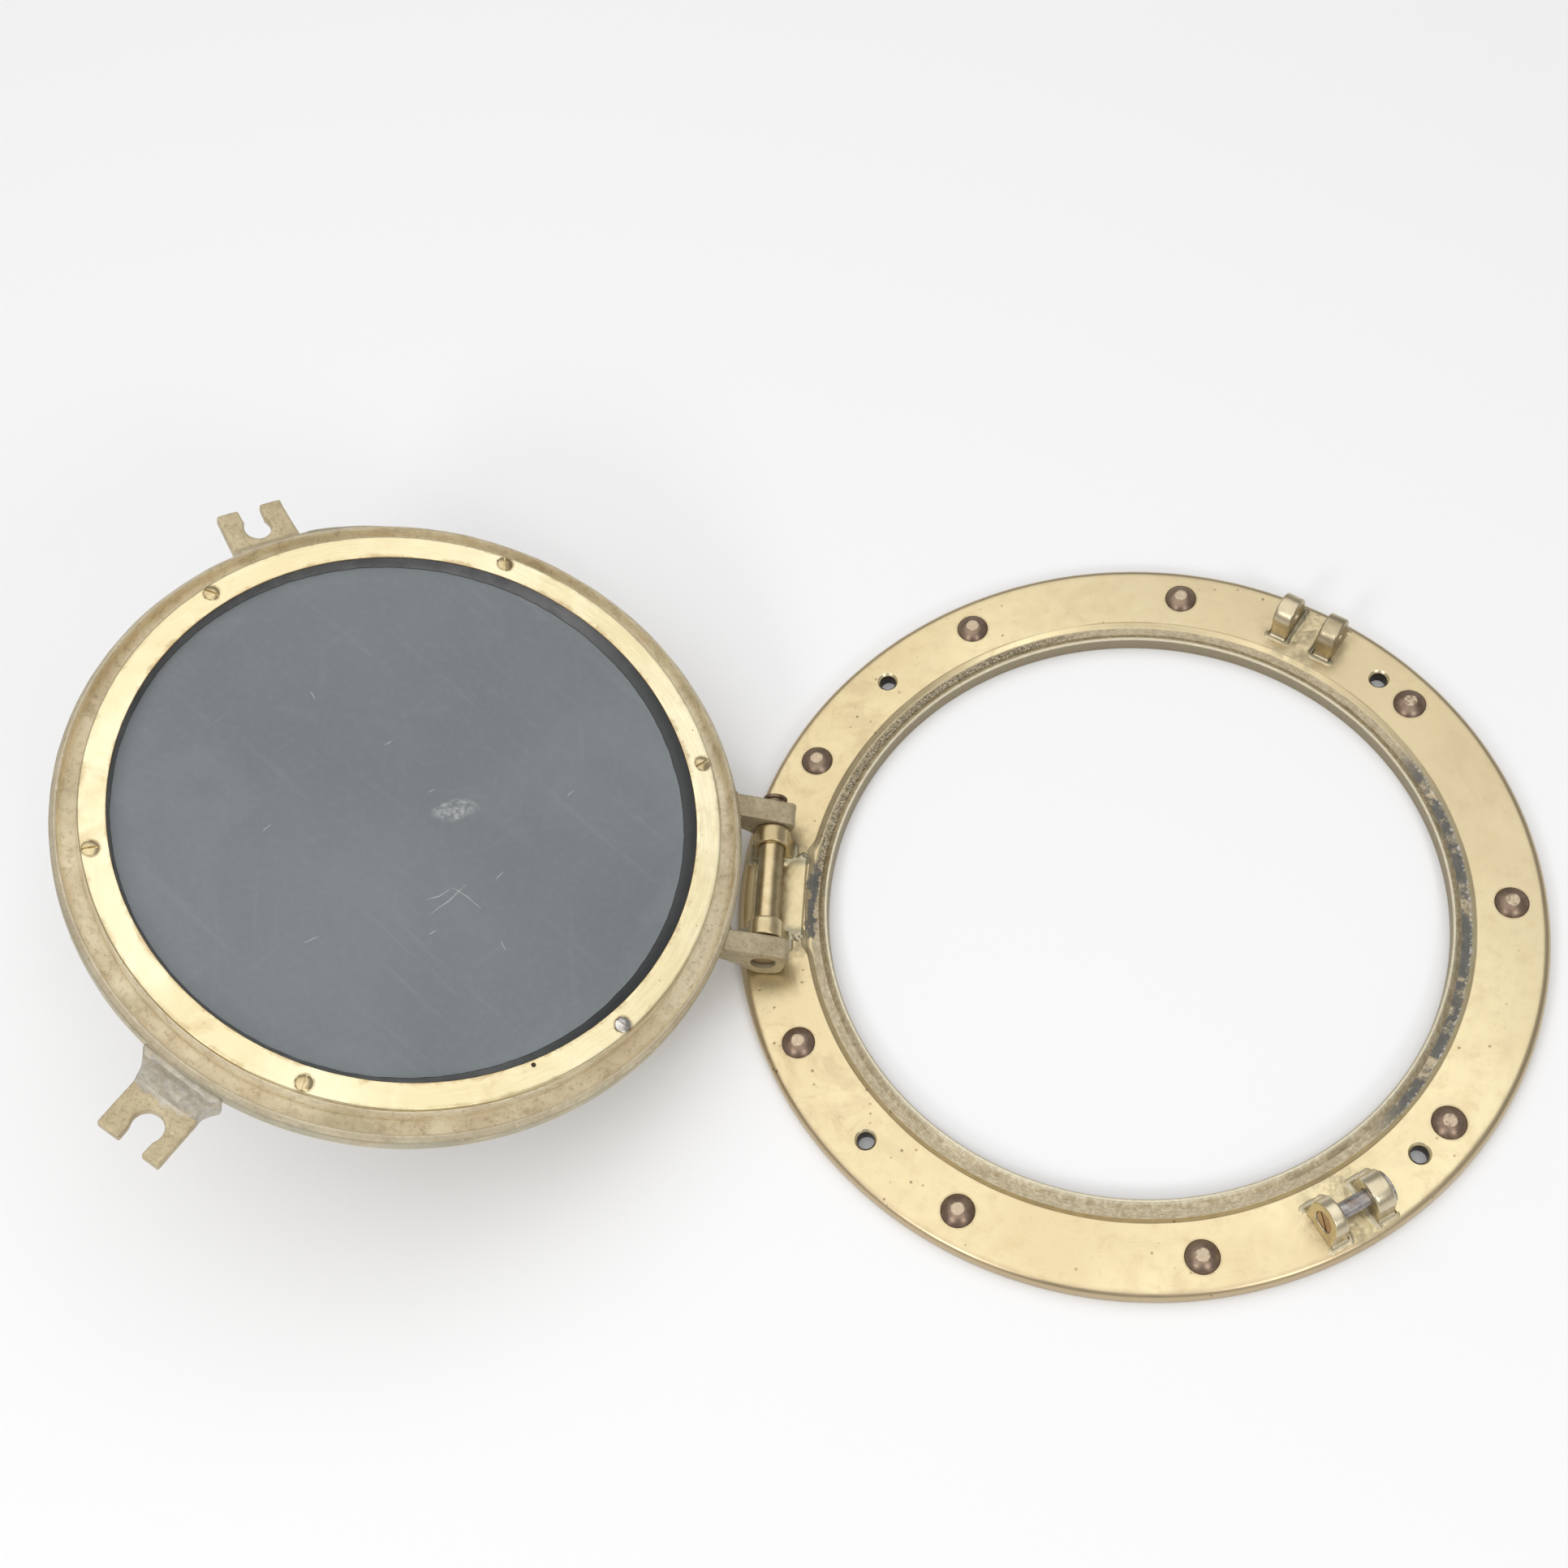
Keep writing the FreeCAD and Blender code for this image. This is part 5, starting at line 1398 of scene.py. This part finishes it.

# ------------------------------------------------------------------ glazing bead, painted back
BEAD_R, BEAD_OFF = 129.7, 2.0
nseg = 720
verts, faces = [], []
prof_n = 15
for s in range(nseg):
    a = 2 * math.pi * s / nseg
    ca, sa = math.cos(a), math.sin(a)
    c = Vector((130 * ca, 130 * sa, 0))
    # contact circle on the pane, a little off centre and lumpy
    rc = BEAD_OFF * ca + math.sqrt(max(0.0, BEAD_R ** 2 - (BEAD_OFF * sa) ** 2))
    rc += 0.28 * nz(c, 9.0, 2.0) + 0.16 * nz(c, 3.2, 7.0)
    rt = 132.92 + 0.05 * nz(c, 5.0, 1.0)
    zt = T + FACE_Z + 0.55 + 0.12 * nz(c, 12.0, 5.0)
    zb = T + BACK_Z
    ring_p = [(136.7, T + SEAT_Z + 0.02), (rt, T + SEAT_Z + 0.02), (rt, zt)]
    for k in range(1, 10):
        t = k / 9.0
        # slightly hollow slope with a soft toe
        rr = rt + (rc - rt) * t
        zz = zt + (zb - zt) * (t + 0.10 * math.sin(math.pi * t))
        lump = 0.10 * nz(Vector((rr * ca, rr * sa, zz)), 4.0, 3.0) * math.sin(math.pi * t)
        ring_p.append((rr, min(zb, zz) + lump))
    ring_p += [(rc + 0.5, zb), (133.5, zb), (136.7, zb)]
    prof_n = len(ring_p)
    verts += [(r * ca, r * sa, z) for r, z in ring_p]
for s in range(nseg):
    t = (s + 1) % nseg
    for i in range(prof_n):
        j = (i + 1) % prof_n
        faces.append((s * prof_n + i, t * prof_n + i, t * prof_n + j, s * prof_n + j))
me = mesh_from("bead_mesh", verts, faces)
fix_normals(me)
place("glazing_bead_run", me, "window", "bead", shut=True, nodes=("glazing_bead",), angle=60)

verts, faces = [], []
nr, ns = 60, 240
zb = T + BACK_Z
for j in range(1, nr + 1):
    r = 136.5 * j / nr
    for s in range(ns):
        a = 2 * math.pi * s / ns
        x, y = r * math.cos(a), r * math.sin(a)
        dz = (0.02 * nz((x, y, 0), 26.0, 5.0) + 0.008 * nz((x, y, 0), 7.0, 2.0)) if j < nr - 3 else 0.0
        verts.append((x, y, zb + 0.03 + dz))
c0 = len(verts)
verts.append((0, 0, zb + 0.03))
for s in range(ns):
    a = 2 * math.pi * s / ns
    verts.append((136.5 * math.cos(a), 136.5 * math.sin(a), zb + 0.4))
c1 = len(verts)
verts.append((0, 0, zb + 0.4))
for s in range(ns):
    t = (s + 1) % ns
    faces.append((c0, s, t))
    for j in range(nr - 1):
        faces.append((j * ns + s, (j + 1) * ns + s, (j + 1) * ns + t, j * ns + t))
    faces.append(((nr - 1) * ns + s, c0 + 1 + s, c0 + 1 + t, (nr - 1) * ns + t))
    faces.append((c0 + 1 + s, c1, c0 + 1 + t))
me = mesh_from("paint_mesh", verts, faces)
fix_normals(me)
place("mirror_back_paint", me, "window", "paint", shut=True, nodes=("mirror_backing",), angle=50)

# hair scratches in the paint, as fine raised burrs
SCR = [
    [(-38, -44), (-31, -39), (-24, -36)], [(-30, -33), (-24, -42), (-15, -52)], [(-24, -36), (-19, -41), (-13, -44)],
    [(-46, -24), (-43, -28)], [(-52, -62), (-49, -58)], [(14, 33), (17, 30)], [(-9, 12), (-6, 9.5)], [(30, -70), (36, -74)],
    [(60, -20), (63, -24)], [(-70, 20), (-73, 24)], [(-20, -58), (-17, -60.5)], [(52, 47), (55, 51)],
]
verts, faces = [], []
for pl in SCR:
    pts = []
    for i in range(len(pl) - 1):
        for k in range(7):
            t = k / 6.0
            pts.append((pl[i][0] + (pl[i + 1][0] - pl[i][0]) * t, pl[i][1] + (pl[i + 1][1] - pl[i][1]) * t))
    n = len(pts)
    base = len(verts)
    for i, (x, y) in enumerate(pts):
        x += 0.35 * nz((x, y, 3), 4.0, 1.0)
        y += 0.35 * nz((x, y, 9), 4.0, 2.0)
        a, b = pts[max(0, i - 1)], pts[min(n - 1, i + 1)]
        L = math.hypot(b[0] - a[0], b[1] - a[1]) or 1
        nx, ny_ = -(b[1] - a[1]) / L, (b[0] - a[0]) / L
        w = 0.14 * math.sin(math.pi * (i + 0.6) / (n + 0.2)) + 0.03
        verts += [(x + nx * w, y + ny_ * w, zb + 0.02), (x, y, zb - 0.04), (x - nx * w, y - ny_ * w, zb + 0.02)]
    for i in range(n - 1):
        q = base + 3 * i
        faces += [(q, q + 1, q + 4, q + 3), (q + 1, q + 2, q + 5, q + 4), (q + 2, q, q + 3, q + 5)]
    faces += [(base, base + 2, base + 1), (base + 3 * n - 3, base + 3 * n - 2, base + 3 * n - 1)]
me = mesh_from("scratch_mesh", verts, faces)
fix_normals(me)
place("paint_scratches", me, "window", "scratch", shut=True, angle=60)

# ------------------------------------------------------------------ ears and forks
ear_y = {"hinge_ear_far": (29.7, 41.3), "hinge_ear_near": (-41.3, -30.8)}
for nm, sd in (("hinge_ear_far", 2.0), ("hinge_ear_near", 8.0)):
    ya, yb = ear_y[nm]
    src = node_copy(nm, True)
    plug = spin_solid("plug", [(0, ya + 0.2), (7.2, ya + 0.2), (7.2, yb - 0.2), (0, yb - 0.2)], 40)
    to_pin = Matrix.Translation(HP) @ Matrix.Rotation(math.radians(-90), 4, "X")
    plug.transform(to_pin)
    me = blobs("ear_m", [], 0.36, 16, extra=(src, plug))
    displace(me, lambda c, n, sd=sd: 0.12 + 0.28 * nz(c, 7.0, sd) + 0.10 * nz(c, 2.6, sd + 4) + 0.02 * nz(c, 1.1, sd + 6))
    for vtx in me.vertices:
        # the faces beside the knuckles stay clear of them
        y = vtx.co.y / MM
        vtx.co.y = (max(y, ya) if nm.endswith("far") else min(y, yb)) * MM
    hole = spin_solid("hole", [(0, ya - 3), (EAR_BORE, ya - 3), (EAR_BORE, (ya + yb) / 2), (EAR_BORE, yb + 3), (0, yb + 3)], 72)
    hole.transform(to_pin)
    me = boolean(me, hole)
    place(nm + "_cast", me, "window", "cast_lug", shut=True, nodes=(nm,), angle=40)
for nm, sd, deg, tag, amount in (("dog_fork_far", 3.0, FORK_FAR, "far", 0.3), ("dog_fork_near", 6.0, FORK_NEAR, "near", 1.0)):
    # the casting and the braze at its root in one skin
    pts = []
    nrow = 18
    y_hi = 15.0 if tag == "near" else 11.0
    for j in range(nrow):
        t = j / (nrow - 1.0)
        # along the sloped root, from the rim wall down to the plate
        r = 157.2 + 9.8 * t
        z = 7.0 + 12.2 * (t ** 0.85)
        for k in range(33):
            y = -16.0 + (y_hi + 16.0) * k / 32
            q = (r, y, z)
            rad = (1.75 - 0.75 * t if tag == "near" else 0.9) * (1 + 0.20 * nz(q, 6.0, sd) + 0.04 * nz(q, 2.6, sd + 3))
            pts.append((r, y, T + z, rad, 0.75))
    if tag == "near":
        # concave flares from both flanks into the rim, as thick as the root is there
        for s, flank in ((1, 15.5), (-1, 16.9)):
            for j in range(15):
                t = j / 14.0
                r = 156.8 + 10.5 * t
                zs = 6.0 + 10.5 * sm(r, 158.5, 163.5) + 2.5 * sm(r, 163.0, 168.5)
                out = 4.6 * (1 - t) ** 2.0
                for k in range(8):
                    z = zs + 1.6 + (22.8 - zs - 1.6) * k / 7
                    for e in np.linspace(0, out, 2 + int(out / 0.8)):
                        q = (r, s * (flank - 1.75 + e), z)
                        pts.append((q[0], q[1], T + z, 1.7 * (1 + 0.06 * nz(q, 5.0, sd)), 1.0))
    src = node_copy(nm, True)
    a = math.radians(180.0 - deg)
    src.transform(Matrix.Rotation(-a, 4, "Z"))
    me = blobs("fork_" + tag, pts, 0.42, 18, extra=(src,))
    if tag == "far":
        for vtx in me.vertices:
            x, y = vtx.co.x / MM, vtx.co.y / MM
            if y > 6.0:
                vtx.co.y += 1.9 * (1 - sm(x, 157.0, 187.0)) * sm(y, 6.0, 15.0) * MM
    displace(me, lambda c, n, sd=sd, am=amount: 0.16 + 0.10 * nz(c, 6.0, sd) + 0.05 * nz(c, 2.1, sd + 4) + 0.02 * nz(c, 1.0, sd + 6)
             + am * (1 - sm(c[0], 165.0, 169.5)) * (0.20 * nz(c, 6.0, 3.0) + 0.05 * nz(c, 2.6, 8.0)))
    me.transform(Matrix.Rotation(a, 4, "Z"))
    place(nm + "_cast", me, "window", "fork_" + tag, shut=True, nodes=(nm,))

rng = random.Random(77)
pts = []
for s in (1, -1):
    yc = s * (EAR_IN + EAR_OUT) / 2
    for k in range(46):
        y = yc + rng.uniform(-6.4, 6.4)
        z = rng.uniform(5.0, 13.5)
        xr = -math.sqrt(157.3 ** 2 - y * y)
        if abs(abs(y) - abs(yc)) > 4.6:
            pts.append((xr + 0.6 - rng.uniform(0, 1.2), y, T + z, rng.uniform(1.3, 1.9), 1.3))
        else:
            pts.append((xr + 0.8 - rng.uniform(0, 0.8), y, T + 4.6 + rng.uniform(-.4, .5), rng.uniform(1.0, 1.4), 1.0))
me = blobs("bz_ears", pts, 0.40, 8)
displace(me, lambda c, n: 0.05 * nz(c, 2.4, 3.0) + 0.02 * nz(c, 0.9, 8.0))
place("braze_ears", me, "window", "cast_lug", shut=True)

# ------------------------------------------------------------------ carried-over CAD nodes
for nm, mat in (("mirror_glass", "mirror"), ("bedding_gasket", "gasket")):
    o = frame["nodes"][nm]
    o.data.materials.clear()
    o.data.materials.append(MAT[mat])

# ------------------------------------------------------------------ stage, light, camera
me = bpy.data.meshes.new("floor")
S = 9.0
me.from_pydata([(-S, -S, 0), (S, -S, 0), (S, S, 0), (-S, S, 0)], [], [(0, 1, 2, 3)])
floor = bpy.data.objects.new("floor", me)
bpy.context.scene.collection.objects.link(floor)
floor.location.z = -0.0002
fm = bpy.data.materials.new("pale_floor")
fm.use_nodes = True
p = fm.node_tree.nodes["Principled BSDF"]
p.inputs["Base Color"].default_value = (0.91, 0.91, 0.91, 1)
p.inputs["Roughness"].default_value = 0.7
p.inputs["Specular IOR Level"].default_value = 0.2
me.materials.append(fm)
floor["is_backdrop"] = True

world = bpy.data.worlds.new("studio")
bpy.context.scene.world = world
world.use_nodes = True
bg = world.node_tree.nodes["Background"]
bg.inputs[0].default_value = (0.985, 0.985, 1.0, 1)
bg.inputs[1].default_value = 0.385


def area(name, loc, target, size, power, color=(1, 1, 1), size_y=None):
    ld = bpy.data.lights.new(name, "AREA")
    ld.energy = power
    ld.color = color
    ld.shape = "RECTANGLE"
    ld.size = size
    ld.size_y = size_y or size
    lo = bpy.data.objects.new(name, ld)
    bpy.context.scene.collection.objects.link(lo)
    lo.location = loc
    d = Vector(target) - Vector(loc)
    lo.rotation_euler = d.to_track_quat("-Z", "Y").to_euler()
    return lo


area("overhead", (-0.55, 0.30, 2.2), (-0.55, 0.30, 0), 4.0, 55.0, size_y=4.4)
area("front_left", (-1.1, -1.5, 1.25), (-0.1, 0, 0), 0.5, 6.5)
area("front_right", (0.95, -1.5, 1.25), (0, 0, 0), 0.5, 6.5)

cam_d = bpy.data.cameras.new("cam")
cam_d.sensor_width = 36.0
cam_d.lens = 2491.1 / 1932.0 * 36.0
cam = bpy.data.objects.new("cam", cam_d)
bpy.context.scene.collection.objects.link(cam)
cam.location = (-0.03454, -0.42052, 0.88398 + T * MM)
cam.rotation_euler = (math.radians(28.882), math.radians(6.796), math.radians(3.798))
cam_d.clip_start = 0.01
bpy.context.scene.camera = cam

vs = bpy.context.scene.view_settings
vs.view_transform = "Standard"
vs.look = "None"
vs.exposure = 0.0

new_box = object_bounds()
{"cad": [list(map(float, c)) for c in cad_box], "visual": [list(map(float, c)) for c in new_box]}
